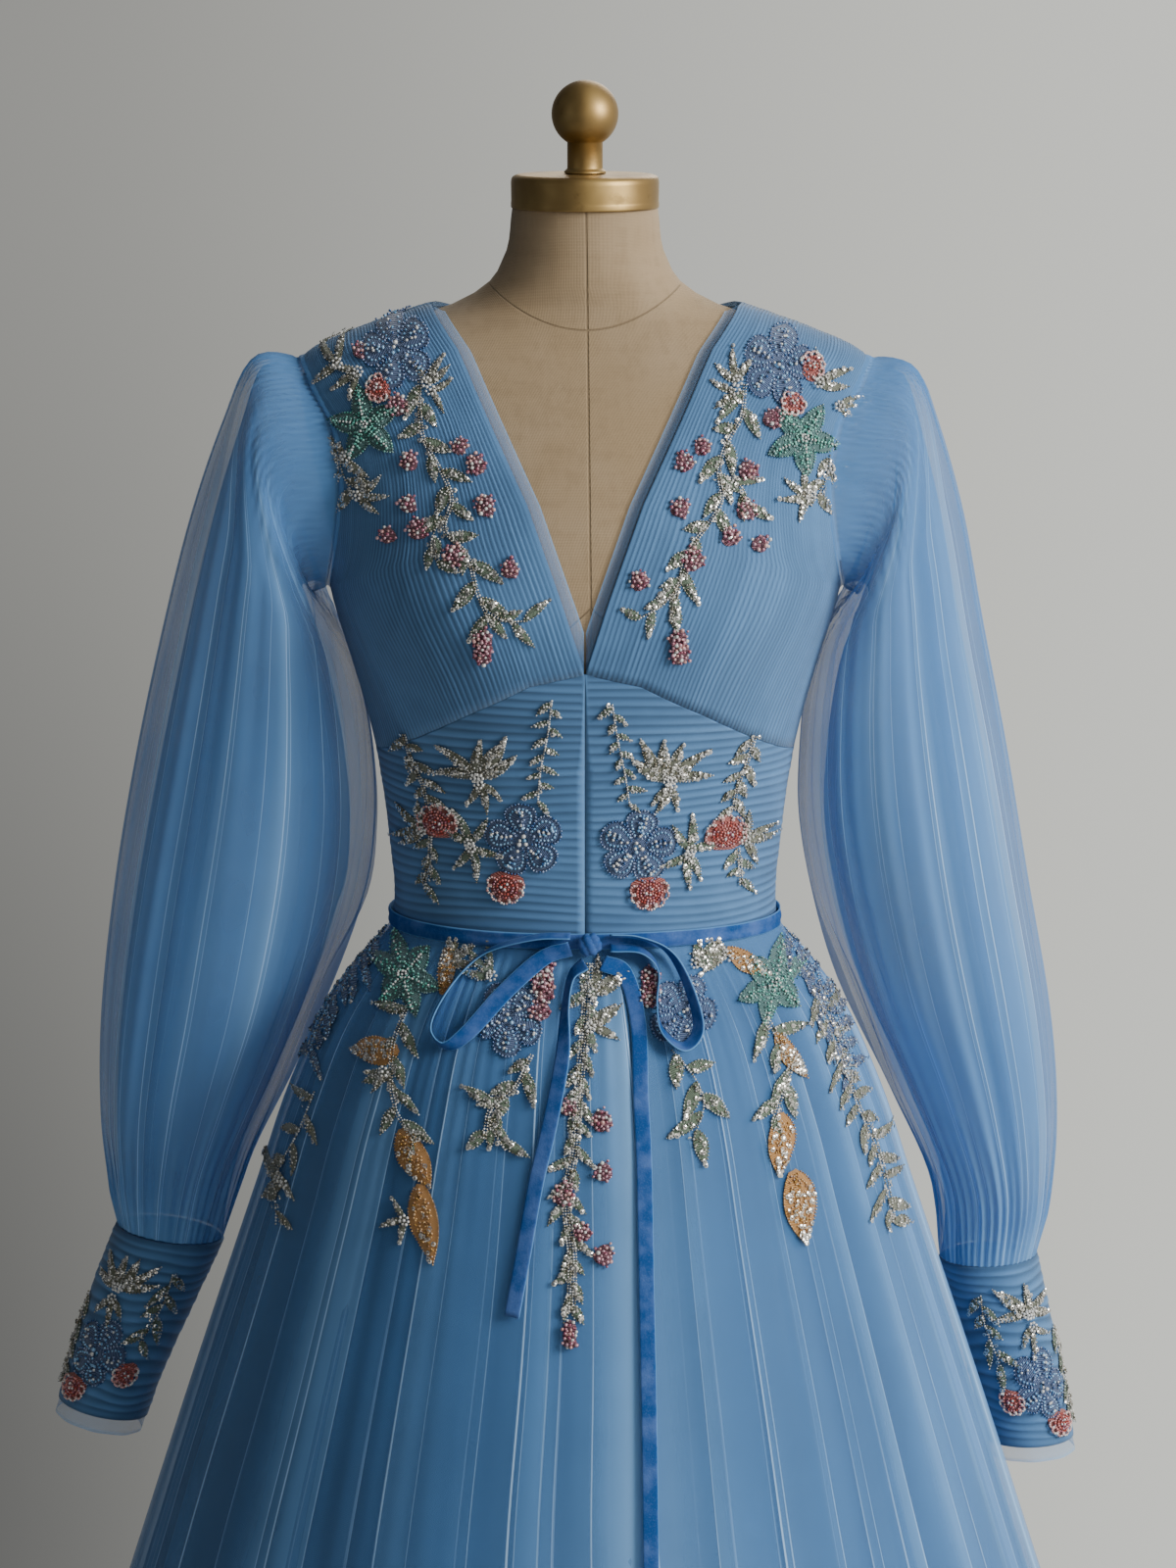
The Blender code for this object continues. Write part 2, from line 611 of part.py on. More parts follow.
def skirt_clear(grid, clear):
    """Moves the points of a hanging tube out in x until they clear the skirt."""
    hw, front, back = skirt_section(np.clip(grid[..., 2], 0, WAIST_Z))
    depth = np.where(grid[..., 1] < 0, front, back) + clear
    inside = np.clip(1 - (grid[..., 1] / depth) ** 2, 0, 1)
    limit = (hw + clear) * np.sqrt(inside)
    low = np.clip((WAIST_Z - grid[..., 2]) / 0.02, 0, 1)
    limit = limit * low
    out = grid.copy()
    out[..., 0] = np.maximum(grid[..., 0], limit)
    return out


def build_sleeve(side, table, parts):
    cols = 2 * SLEEVE_FOLDS
    phi = np.linspace(0, 2 * math.pi, cols, endpoint=False)
    rows = ring_rows(table, 10)
    grid = ring_points(rows, phi)
    grid = np.stack([skirt_clear(g, 0.0250) for g in grid])
    head = armhole(phi, 0.0020)
    head[:, 0] = head[:, 0] + CLOTH_IN + CLOTH_WALL + HEAD_GAP
    down = np.arange(len(rows))
    # the head ring lies on the armhole and the next rows leave it step by step
    grid = np.concatenate([head[None], grid])
    normal = grid_normal(grid)
    normal[0] = np.stack([0 * phi, -np.sin(phi), np.cos(phi)], -1)
    t = np.linspace(0, 1, len(grid))[:, None]
    depth = np.interp(t, [0, 0.08, 0.35, 0.75, 0.93, 1.0], [0, 0.0015, 0.0060, 0.0065, 0.0030, 0.0006])
    uneven = 0.75 + 0.25 * np.sin(3 * phi + 0.6 + side)[None, :] * np.cos(5 * phi)[None, :]
    wave = depth * uneven * ((np.arange(cols) % 2)[None, :] - 0.5)
    out = grid + normal * (wave + SLEEVE_WALL)[..., None]
    inn = grid + normal * wave[..., None]
    if side < 0:
        out[..., 0] *= -1
        inn[..., 0] *= -1
    if side > 0:
        out, inn = out[:, ::-1], inn[:, ::-1]
    wall("sleeve_" + ("right" if side > 0 else "left"), out, inn, "tulle", parts, closed=True)
    return down


def build_cuff(side, table, parts):
    cols = 16
    phi = np.linspace(0, 2 * math.pi, cols, endpoint=False)
    count = 2 * CUFF_PLEATS + 1
    grid = ring_points(ring_rows(table, count), phi)
    normal = grid_normal(grid)
    step = np.arange(count)
    raised = np.where((step % 2 == 1) & (step < count - 2), PLEAT_RISE, 0.0)
    out = grid + normal * (CUFF_WALL + raised[:, None])[..., None]
    inn = grid[::4, ::2]
    if side < 0:
        out[..., 0] *= -1
        inn = inn.copy()
        inn[..., 0] *= -1
    if side > 0:
        out, inn = out[:, ::-1], inn[:, ::-1]
    wall("cuff_" + ("right" if side > 0 else "left"), out, inn, "tulle", parts, closed=True)


# Belt and bow

BELT_IN = CLOTH_IN + LINING_WALL + SEAT + SKIRT_WALL + SEAT + 0.0002


def build_belt(parts):
    cols = 36
    theta = np.linspace(-math.pi, math.pi, cols, endpoint=False)[None, :]
    z = (BELT_Z + BELT_HEIGHT * np.array([0.5, -0.5]))[:, None]
    at = WAIST_Z + 0 * z + 0 * theta
    sag = BELT_SAG
    inn = off(torso_point, theta + 0 * z, at, BELT_IN + sag + 0 * at, level=True)
    out = off(torso_point, theta + 0 * z, at, BELT_IN + sag + BELT_WALL + 0 * at, level=True)
    inn[..., 2] = z
    out[..., 2] = z
    wall("belt", out, inn, "velvet", parts, closed=True)


# Bow pieces: x, z, stand-off from the skirt's folds, turn of the ribbon onto its edge
RIBBON_COLUMNS = ("x", "z", "lift", "turn")
LOOP_LEFT = [
    (-0.0085, 1.0640, 0.0040, 78), (-0.0280, 1.0630, 0.0040, 78),
    (-0.0537, 1.0540, 0.0030, 80), (-0.0722, 1.0393, 0.0004, 80),
    (-0.0868, 1.0196, 0.0004, 70), (-0.0909, 1.0061, 0.0006, 62),
    (-0.0821, 0.9986, 0.0012, 56), (-0.0686, 1.0072, 0.0044, 34),
    (-0.0473, 1.0300, 0.0044, 14), (-0.0240, 1.0500, 0.0052, 10),
    (-0.0085, 1.0556, 0.0064, 10),
]
LOOP_RIGHT = [
    (0.0145, 1.0645, 0.0040, 78), (0.0300, 1.0630, 0.0040, 78),
    (0.0470, 1.0540, 0.0040, 78), (0.0590, 1.0351, 0.0046, 74),
    (0.0655, 1.0110, 0.0044, 70), (0.0568, 1.0010, 0.0044, 70),
    (0.0446, 1.0106, 0.0044, 74), (0.0418, 1.0254, 0.0040, 78),
    (0.0425, 1.0430, 0.0030, 78), (0.0320, 1.0545, 0.0040, 74),
    (0.0145, 1.0565, 0.0050, 70),
]
TAIL_LEFT = [
    (0.0000, 1.0475, 0.0060, 50), (-0.0080, 1.0400, 0.0020, 66),
    (-0.0116, 1.0226, 0.0004, 60), (-0.0134, 0.9955, 0.0016, 24),
    (-0.0212, 0.9564, 0.0010, 10), (-0.0290, 0.9243, 0.0004, 8),
    (-0.0362, 0.8845, 0.0004, 6), (-0.0433, 0.8464, 0.0004, 6),
]
TAIL_RIGHT = [
    (0.0105, 1.0475, 0.0060, 10), (0.0240, 1.0400, 0.0012, 6),
    (0.0318, 1.0138, 0.0004, 5), (0.0334, 0.9720, 0.0004, 5),
    (0.0351, 0.9348, 0.0004, 5), (0.0362, 0.8710, 0.0004, 5),
    (0.0378, 0.7862, 0.0004, 5), (0.0388, 0.7015, 0.0004, 5),
    (0.0395, 0.6200, 0.0004, 5), (0.0400, 0.5400, 0.0004, 5),
]
KNOT_X = 0.0030
KNOT_RADIUS = 0.0085
KNOT_DEPTH = 0.0055
KNOT_Z = WAIST_Z + 0.0010


def skirt_front(x, z, lift):
    """Point in front of the overlay's highest folds at x and z."""
    z = np.clip(z, HEM_Z, WAIST_Z)
    hw, front, _ = skirt_section(z)
    theta = np.arcsin(np.clip(x / hw, -1, 1))
    crest = fold_wave(theta, z, 1.0)
    rest = CLOTH_IN + LINING_WALL + SEAT + SKIRT_WALL
    return off(skirt_point, theta, z, rest + crest + lift, level=True)


def ribbon(name, path, count, parts):
    """A ribbon along a path on the skirt, turned from flat to standing on its edge."""
    data = np.array(path, dtype=float)
    at = np.linspace(0, len(data) - 1, count)
    idx = np.arange(len(data)) * 1.0
    x, z, lift, turn = [smooth_lookup(at, idx, data[:, k]) for k in range(4)]
    dx, dz = np.gradient(x), np.gradient(z)
    length = np.hypot(dx, dz)
    ax, az = -dz / length, dx / length
    turn = np.radians(turn)
    half, thick = RIBBON_WIDTH / 2, RIBBON_WALL / 2
    rest = half * np.sin(turn) + thick * np.cos(turn) + lift
    rows = []
    for s, t in ((-1, -1), (1, -1), (1, 1), (-1, 1)):
        across = half * np.cos(turn) * s - thick * np.sin(turn) * t
        out = half * np.sin(turn) * s + thick * np.cos(turn) * t
        px, pz = x + ax * across, z + az * across
        row = skirt_front(px, np.minimum(pz, WAIST_Z), rest + out)
        row[:, 2] = pz
        rows.append(row)
    ring = np.stack(rows, 1)
    faces = []
    n = len(x)
    for i in range(n - 1):
        for j in range(4):
            k = (j + 1) % 4
            faces.append([i * 4 + j, i * 4 + k, (i + 1) * 4 + k, (i + 1) * 4 + j])
    faces.append([3, 2, 1, 0])
    faces.append([(n - 1) * 4 + j for j in range(4)])
    mesh = bpy.data.meshes.new(name)
    mesh.from_pydata([tuple(p) for p in ring.reshape(-1, 3)], [], faces)
    mesh.materials.append(material("velvet"))
    obj = bpy.data.objects.new(name, mesh)
    parts.objects.link(obj)
    return obj


def build_bow(parts):
    bpy.ops.mesh.primitive_uv_sphere_add(segments=10, ring_count=6, radius=1.0)
    knot = bpy.context.object
    knot.name = "bow_knot"
    knot.data.name = "bow_knot"
    front = torso_point(np.array(0.0), np.array(WAIST_Z))[1]
    knot_y = float(front) - BELT_IN - BELT_SAG - BELT_WALL - SEAT - KNOT_DEPTH
    for v in knot.data.vertices:
        v.co = (v.co[0] * KNOT_RADIUS + KNOT_X, v.co[1] * KNOT_DEPTH + knot_y,
                v.co[2] * KNOT_RADIUS + KNOT_Z)
    knot.data.materials.append(material("velvet"))
    knot.data.shade_smooth()
    for coll in list(knot.users_collection):
        coll.objects.unlink(knot)
    parts.objects.link(knot)
    ribbon("bow_loop_left", LOOP_LEFT, 17, parts)
    ribbon("bow_loop_right", LOOP_RIGHT, 17, parts)
    ribbon("bow_tail_left", TAIL_LEFT, 11, parts)
    ribbon("bow_tail_right", TAIL_RIGHT, 13, parts)


# Applied flowers

def build_flower(name, x0, z0, radius, petals, seat, panel, parts):
    """A petalled disc that follows the panel it lies on, with a raised centre."""
    per = 3 if petals == 5 else 2
    count = petals * per
    a = np.linspace(0, 2 * math.pi, count, endpoint=False) + 0.4
    notch = 0.68 if petals == 5 else 0.50
    lobe = np.where(np.arange(count) % per == 0, notch, 1.0)
    rings = [(0.0, 0.0030), (0.42, 0.0024), (1.0, 0.0010)]
    top, low = [], []
    for share, rise in rings:
        r = radius * share * (lobe if share > 0.5 else np.ones(count))
        px, pz = x0 + r * np.cos(a), z0 + r * np.sin(a)
        if share == 0.0:
            px, pz = px[:1], pz[:1]
        if panel == "skirt":
            top.append(skirt_front(px, pz, seat + rise))
            low.append(skirt_front(px, pz, seat + 0 * px))
        else:
            theta = front_angle(px, pz)
            rest = CLOTH_IN + CLOTH_WALL + PLEAT_RISE + seat
            top.append(off(torso_point, theta, pz, rest + rise + 0 * px))
            low.append(off(torso_point, theta, pz, rest + 0 * px))
    points = np.concatenate(top + low)
    faces = []
    starts = [0, 1, 1 + count]
    total = 1 + 2 * count
    for flip, base in ((False, 0), (True, total)):
        for j in range(count):
            k = (j + 1) % count
            tri = [base, base + starts[1] + j, base + starts[1] + k]
            faces.append(tri[::-1] if flip else tri)
            quad = [base + starts[1] + j, base + starts[2] + j,
                    base + starts[2] + k, base + starts[1] + k]
            faces.append(quad[::-1] if flip else quad)
    for j in range(count):
        k = (j + 1) % count
        faces.append([starts[2] + j, total + starts[2] + j, total + starts[2] + k, starts[2] + k])
    mat = "star" if petals == 6 else ("blossom" if "blossom" in name else "flower")
    make_object(name, points, faces, mat, parts)


def main():
    clear_scene()
    parts = bpy.data.collections.new("a_line_gown")
    bpy.context.scene.collection.children.link(parts)
    build_form(parts)
    build_stand(parts)
    build_bodice(parts)
    build_midriff(parts)
    build_skirt(parts)
    for side, sleeve, cuff in ((-1, SLEEVE_LEFT, CUFF_LEFT), (1, SLEEVE_RIGHT, CUFF_RIGHT)):
        build_sleeve(side, sleeve, parts)
        build_cuff(side, cuff, parts)
    build_belt(parts)
    build_bow(parts)
    for row in FLOWERS:
        build_flower(*row, parts)


main()
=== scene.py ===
"""Looks of the a-line gown on its dress form: fine cloth, ribbon and beadwork round the solids."""

import math

import bpy
import numpy as np
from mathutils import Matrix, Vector
from bpy.props import FloatProperty, FloatVectorProperty, IntProperty, PointerProperty
from bpy.types import Operator, Panel, PropertyGroup


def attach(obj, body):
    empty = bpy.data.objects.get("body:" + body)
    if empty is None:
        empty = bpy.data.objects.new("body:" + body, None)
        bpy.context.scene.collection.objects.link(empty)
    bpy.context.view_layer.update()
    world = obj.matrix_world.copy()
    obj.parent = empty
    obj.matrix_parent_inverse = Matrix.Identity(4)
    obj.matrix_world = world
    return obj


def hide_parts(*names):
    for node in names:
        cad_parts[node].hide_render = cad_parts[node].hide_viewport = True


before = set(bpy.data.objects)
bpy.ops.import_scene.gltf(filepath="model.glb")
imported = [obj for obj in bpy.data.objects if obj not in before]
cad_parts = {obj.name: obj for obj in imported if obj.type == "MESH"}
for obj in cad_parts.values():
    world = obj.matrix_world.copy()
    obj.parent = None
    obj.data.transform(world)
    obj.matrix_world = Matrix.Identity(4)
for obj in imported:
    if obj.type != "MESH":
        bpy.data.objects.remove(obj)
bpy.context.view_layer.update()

bl_info = {
    "name": "A-line gown on a dress form",
    "version": (1, 0, 0),
    "blender": (4, 5, 0),
    "location": "3D View > Sidebar > Gown",
    "description": "Builds the gown's cloth, ribbon, beadwork, dress form and studio",
    "category": "Object",
}

# Sizes in metres, most of them shared with the solids
FORM_TOP_Z = 1.512
FORM_BOTTOM_Z = 0.790
CAP_RADIUS = 0.0468
CAP_HEIGHT = 0.0215
BALL_RADIUS = 0.0211
STEM_RADIUS = 0.0112
BALL_Z = 1.5713
POLE_RADIUS = 0.016
BASE_RADIUS = 0.195
BASE_HEIGHT = 0.022
FLANGE_RADIUS = 0.05
SEAT = 0.0003
SEAM_ANGLE = 0.0020
WAIST_Z = 1.0575
HEM_Z = 0.014
EMPIRE_SIDE_Z = 1.1715
EMPIRE_GAP = 0.0012
CLOTH_IN = 0.0024
FORM_EASE = 0.0018
CLOTH_WALL = 0.0018
PLEAT_RISE = 0.0012
BODICE_RELIEF = 0.0005
MIDRIFF_RELIEF = 0.0005
SKIRT_WALL = 0.0016
LINING_WALL = 0.0012
SLEEVE_WALL = 0.0018
HEAD_GAP = 0.0026
CUFF_WALL = 0.0022
CUFF_PLEATED = 0.905      # share of the cuff's length that is pleated
CUFF_EDGE = 0.88          # share where its net edge begins
CUFF_RADIUS = 0.034
CUFF_LENGTH = 0.135
BELT_HEIGHT = 0.0100
BELT_WALL = 0.0014
BELT_Z = WAIST_Z + 0.0015
BELT_SAG = 0.0025
BELT_IN = CLOTH_IN + LINING_WALL + SEAT + SKIRT_WALL + SEAT + 0.0002
RIBBON_WIDTH = 0.0095
RIBBON_WALL = 0.0012
KNOT_X = 0.0030
KNOT_RADIUS = 0.0085
KNOT_DEPTH = 0.0055
KNOT_Z = WAIST_Z + 0.0010
ARM_TOP_Z = 1.4130
ARM_LOW_Z = 1.2760
ARM_HALF_DEPTH = 0.047

# Form sections: height, half width, front depth, back depth, centre y
TORSO = np.array([
    (0.790, 0.150, 0.112, 0.120, 0.000), (0.830, 0.160, 0.116, 0.128, 0.000),
    (0.890, 0.163, 0.112, 0.130, 0.000), (0.950, 0.155, 0.104, 0.124, 0.000),
    (1.000, 0.138, 0.096, 0.108, 0.000), (1.040, 0.122, 0.087, 0.092, 0.000),
    (1.070, 0.1185, 0.085, 0.088, 0.000), (1.110, 0.1215, 0.088, 0.090, 0.000),
    (1.150, 0.1265, 0.094, 0.096, 0.000), (1.185, 0.1330, 0.103, 0.102, 0.000),
    (1.225, 0.1440, 0.116, 0.108, 0.000), (1.265, 0.1560, 0.121, 0.110, 0.000),
    (1.305, 0.1640, 0.112, 0.110, 0.002), (1.345, 0.1720, 0.098, 0.106, 0.004),
    (1.380, 0.1800, 0.084, 0.096, 0.007), (1.405, 0.1820, 0.072, 0.082, 0.009),
    (1.420, 0.1700, 0.062, 0.072, 0.010), (1.432, 0.1430, 0.057, 0.064, 0.011),
    (1.443, 0.1130, 0.053, 0.058, 0.011), (1.453, 0.0840, 0.051, 0.054, 0.010),
    (1.463, 0.0640, 0.050, 0.052, 0.008), (1.480, 0.0520, 0.048, 0.050, 0.006),
    (1.512, 0.0460, 0.0455, 0.0465, 0.003),
])

# Skirt sections: height, half width, front depth, back depth
SKIRT = np.array([
    (0.000, 0.492, 0.455, 0.470), (0.300, 0.395, 0.362, 0.378),
    (0.620, 0.292, 0.268, 0.284), (0.755, 0.249, 0.228, 0.246),
    (0.885, 0.206, 0.184, 0.206), (0.950, 0.184, 0.158, 0.182),
    (1.008, 0.156, 0.124, 0.148), (1.036, 0.1345, 0.1000, 0.1080),
    (1.052, 0.1212, 0.0874, 0.0914), (1.0575, 0.1204, 0.0866, 0.0906),
])

# Sleeve and cuff sections: centre y, half depth, outer x and z, inner x and z
SLEEVE_LEFT = np.array([
    (0.010, 0.056, 0.2100, 1.4150, 0.1790, 1.2680),
    (0.012, 0.064, 0.2290, 1.3750, 0.1690, 1.2440),
    (0.016, 0.067, 0.2490, 1.3162, 0.1580, 1.2060),
    (0.024, 0.068, 0.2690, 1.2400, 0.1480, 1.1620),
    (0.034, 0.068, 0.2890, 1.1550, 0.1420, 1.1150),
    (0.048, 0.068, 0.3060, 1.0700, 0.1460, 1.0640),
    (0.064, 0.066, 0.3180, 0.9850, 0.1640, 1.0020),
    (0.082, 0.060, 0.3215, 0.9150, 0.1960, 0.9350),
    (0.094, 0.048, 0.3170, 0.8640, 0.2260, 0.8760),
    (0.100, 0.034, 0.3120, 0.8290, 0.2450, 0.8190),
])
SLEEVE_RIGHT = np.array([
    (0.010, 0.056, 0.2080, 1.4080, 0.1790, 1.2680),
    (0.012, 0.062, 0.2240, 1.3700, 0.1680, 1.2480),
    (0.016, 0.064, 0.2400, 1.3160, 0.1570, 1.2120),
    (0.024, 0.065, 0.2540, 1.2500, 0.1480, 1.1680),
    (0.034, 0.066, 0.2720, 1.1650, 0.1430, 1.1180),
    (0.048, 0.066, 0.2880, 1.0750, 0.1500, 1.0640),
    (0.064, 0.064, 0.3040, 0.9850, 0.1680, 1.0020),
    (0.084, 0.058, 0.3110, 0.9100, 0.2020, 0.9300),
    (0.100, 0.046, 0.3090, 0.8500, 0.2340, 0.8600),
    (0.108, 0.032, 0.3020, 0.8060, 0.2410, 0.8030),
])
CUFF_LEFT = np.array([
    (0.1004, 0.0345, 0.3131, 0.8271, 0.2448, 0.8171),
    (0.1020, 0.0330, 0.3290, 0.7860, 0.2640, 0.7760),
    (0.1040, 0.0310, 0.3460, 0.7330, 0.2880, 0.7230),
    (0.1060, 0.0310, 0.3570, 0.6960, 0.3020, 0.6830),
])
CUFF_RIGHT = np.array([
    (0.1083, 0.0325, 0.3025, 0.8050, 0.2405, 0.8020),
    (0.1090, 0.0320, 0.3120, 0.7620, 0.2510, 0.7620),
    (0.1100, 0.0310, 0.3240, 0.7050, 0.2660, 0.7060),
    (0.1110, 0.0310, 0.3310, 0.6680, 0.2740, 0.6660),
])

# Openings: height and half width of the front V and of the back neck
NECK_V = [(1.4480, 0.0960), (1.4252, 0.0790), (1.3853, 0.0600),
          (1.3344, 0.0355), (1.2743, 0.0135), (1.2362, 0.0008)]
BACK_V = [(1.4480, 0.0960), (1.4360, 0.0620), (1.4270, 0.0300), (1.4240, 0.0008)]
# Empire seam: half width and height from the centre to the side seam
EMPIRE = [(0.0000, 1.2345), (0.0347, 1.2262), (0.0716, 1.2065),
          (0.1034, 1.1866), (0.1240, 1.1745), (0.1300, EMPIRE_SIDE_Z)]

# Bow ribbons: x, z, stand-off from the skirt's folds, turn of the ribbon onto its edge
LOOP_LEFT = [
    (-0.0085, 1.0640, 0.0040, 78), (-0.0280, 1.0630, 0.0040, 78),
    (-0.0537, 1.0540, 0.0030, 80), (-0.0722, 1.0393, 0.0004, 80),
    (-0.0868, 1.0196, 0.0004, 70), (-0.0909, 1.0061, 0.0006, 62),
    (-0.0821, 0.9986, 0.0012, 56), (-0.0686, 1.0072, 0.0044, 34),
    (-0.0473, 1.0300, 0.0044, 14), (-0.0240, 1.0500, 0.0052, 10),
    (-0.0085, 1.0556, 0.0064, 10),
]
LOOP_RIGHT = [
    (0.0145, 1.0645, 0.0040, 78), (0.0300, 1.0630, 0.0040, 78),
    (0.0470, 1.0540, 0.0040, 78), (0.0590, 1.0351, 0.0046, 74),
    (0.0655, 1.0110, 0.0044, 70), (0.0568, 1.0010, 0.0044, 70),
    (0.0446, 1.0106, 0.0044, 74), (0.0418, 1.0254, 0.0040, 78),
    (0.0425, 1.0430, 0.0030, 78), (0.0320, 1.0545, 0.0040, 74),
    (0.0145, 1.0565, 0.0050, 70),
]
TAIL_LEFT = [
    (0.0000, 1.0475, 0.0060, 50), (-0.0080, 1.0400, 0.0020, 66),
    (-0.0116, 1.0226, 0.0004, 60), (-0.0134, 0.9955, 0.0016, 24),
    (-0.0212, 0.9564, 0.0010, 10), (-0.0290, 0.9243, 0.0004, 8),
    (-0.0362, 0.8845, 0.0004, 6), (-0.0433, 0.8464, 0.0004, 6),
]
TAIL_RIGHT = [
    (0.0105, 1.0475, 0.0060, 10), (0.0240, 1.0400, 0.0012, 6),
    (0.0318, 1.0138, 0.0004, 5), (0.0334, 0.9720, 0.0004, 5),
    (0.0351, 0.9348, 0.0004, 5), (0.0362, 0.8710, 0.0004, 5),
    (0.0378, 0.7862, 0.0004, 5), (0.0388, 0.7015, 0.0004, 5),
    (0.0395, 0.6200, 0.0004, 5), (0.0400, 0.5400, 0.0004, 5),
]

# Depth of a sleeve's long folds and of its fine gathers, at shares of its length
LONG_FOLDS = ((0, 0.05, 0.30, 0.75, 0.93, 1.0), (0.0003, 0.0012, 0.0034, 0.0042, 0.0028, 0.0004))
FINE_GATHERS = ((0, 0.02, 0.08, 0.16, 0.80, 0.93, 1.0),
                (0.0016, 0.0032, 0.0024, 0.0004, 0.0002, 0.0024, 0.0006))
# How many folds go round: broad, narrow and gathered on the overlay, on the middle net, and the
# narrow and gathered ones of a sleeve
OVERLAY_FOLDS, OVERLAY_NARROW, OVERLAY_GATHERS = 23, 61, 104
MIDDLE_FOLDS = 29
SLEEVE_NARROW, SLEEVE_GATHERS = 27, 44

# Bead: colour, metal share, roughness, coat, and how far its colour drifts
BEADS = {
    "silver": ((0.46, 0.45, 0.41), 0.80, 0.20, 0.4, 0.35),
    "champagne": ((0.36, 0.31, 0.21), 0.70, 0.20, 0.5, 0.35),
    "pearl": ((0.72, 0.72, 0.70), 0.10, 0.20, 0.8, 0.10),
    "ice": ((0.17, 0.46, 0.80), 0.10, 0.20, 0.8, 0.25),
    "steel_blue": ((0.006, 0.105, 0.36), 0.30, 0.22, 0.7, 0.35),
    "teal": ((0.006, 0.17, 0.17), 0.20, 0.25, 0.7, 0.35),
    "mint": ((0.12, 0.55, 0.44), 0.20, 0.25, 0.7, 0.25),
    "coral": ((0.60, 0.055, 0.035), 0.10, 0.25, 0.7, 0.30),
    "blush": ((0.70, 0.34, 0.32), 0.15, 0.25, 0.7, 0.25),
    "rose": ((0.42, 0.085, 0.16), 0.25, 0.22, 0.8, 0.35),
    "bronze": ((0.40, 0.20, 0.07), 0.70, 0.26, 0.5, 0.35),
    "gold": ((0.66, 0.37, 0.08), 0.70, 0.22, 0.5, 0.30),
    "ring": ((0.86, 0.84, 0.78), 0.90, 0.15, 0.5, 0.20),
}
# Colour of the satin stitch under the beads
THREADS = {
    "blue_thread": ((0.006, 0.066, 0.225),), "teal_thread": ((0.010, 0.14, 0.14),),
    "coral_thread": ((0.42, 0.07, 0.05),), "rose_thread": ((0.20, 0.035, 0.08),),
    "amber_thread": ((0.58, 0.25, 0.020),), "sage_thread": ((0.085, 0.155, 0.080),),
    "grey_thread": ((0.135, 0.150, 0.085),),
}
# Order of the material slots of a beadwork piece, and the mixes that leaves are worked in
KINDS = tuple(BEADS) + tuple(THREADS)
WHITE = ("silver", "champagne", "pearl")
BLUE = ("steel_blue", "ice", "silver")
GOLD = ("gold", "gold", "bronze")
BERRY = ("rose", "rose", "rose", "blush", "pearl")
# Net: bands of folds (how many, width of the pale edge, partly a painted highlight, share),
# clearest and fullest alpha, palest share, where the gathers end and begin again, where the bands
# fade in, crispness
NETS = {
    "overlay_tulle": (((19.0, 0.010, 0.90), (43.0, 0.015, 0.50)),
                      0.11, 0.94, 1.0, (0.06, 1.0), (0.004, 0.060), 1.6),
    "middle_tulle": (((13.0, 0.009, 0.70), (31.0, 0.014, 0.36)),
                     0.14, 0.84, 0.80, (0.05, 1.0), (0.004, 0.050), 1.2),
    "sleeve_tulle": (((12.0, 0.012, 0.60), (23.0, 0.016, 0.36)),
                     0.36, 0.88, 1.0, (0.12, 0.88), (0.04, 0.22), 1.7),
    "sleeve_under_tulle": (((9.0, 0.012, 0.46), (17.0, 0.018, 0.28)),
                           0.44, 0.86, 0.65, (0.12, 0.88), (0.04, 0.22), 1.3),
}
# Brass: light and dark colour
BRASS = {
    "brass": ((0.50, 0.345, 0.135), (0.30, 0.195, 0.075)),
    "dark_brass": ((0.24, 0.17, 0.08), (0.12, 0.08, 0.04)),
}
# Fineness of the grids, rows and columns
FORM_GRID = (110, 104)
NECK_GRID = (70, 7)
BELT_COLUMNS, BELT_ROWS = 288, 9
CUFF_COLUMNS, CUFF_EDGE_ROWS = 96, 9
SLEEVE_GRID, SLEEVE_UNDER_GRID = (58, 289), (36, 145)
KNOT_GRID = (34, 56)

# Studio: the floor lies just under the base; the camera aims at a height from a reach and a tilt
FLOOR_Z = -0.0006
FLOOR_RADIUS = 1.85
LENS = 120.0
SENSOR = 36.0
CAMERA_X = 0.0019
CAMERA_AIM_Z = 1.1435
CAMERA_REACH = 3.36
CAMERA_TILT = math.radians(9.7)
# Lights: name, place, height of the aim, size, share of the key light's power, colour
LIGHTS = (
    ("key_light", (2.7, -1.7, 2.4), 1.05, 1.6, 1.0, (1.0, 0.985, 0.96)),
    ("fill_light", (-2.6, -1.8, 1.7), 1.0, 1.8, 0.015, (0.90, 0.95, 1.0)),
    ("back_light", (0.6, 2.4, 2.6), 1.1, 1.6, 0.15, (1.0, 0.98, 0.96)),
)


# Surfaces

def smooth_lookup(x, xs, ys):
    """Cubic through the rows with Catmull-Rom slopes; ys may carry further axes."""
    x = np.clip(np.asarray(x, dtype=float), xs[0], xs[-1])
    slope = np.gradient(ys, xs, axis=0)
    i = np.clip(np.searchsorted(xs, x, side="right") - 1, 0, len(xs) - 2)
    h = xs[i + 1] - xs[i]
    t = (x - xs[i]) / h
    more = (1,) * (np.ndim(ys) - 1)
    h, t = h.reshape(h.shape + more), t.reshape(t.shape + more)
    a = (1 + 2 * t) * (1 - t) ** 2 * ys[i] + t * (1 - t) ** 2 * h * slope[i]
    b = t * t * (3 - 2 * t) * ys[i + 1] + t * t * (t - 1) * h * slope[i + 1]
    return a + b


def torso_section(z):
    return [smooth_lookup(z, TORSO[:, 0], TORSO[:, k]) for k in range(1, 5)]


def skirt_section(z):
    return [smooth_lookup(z, SKIRT[:, 0], SKIRT[:, k]) for k in range(1, 4)]


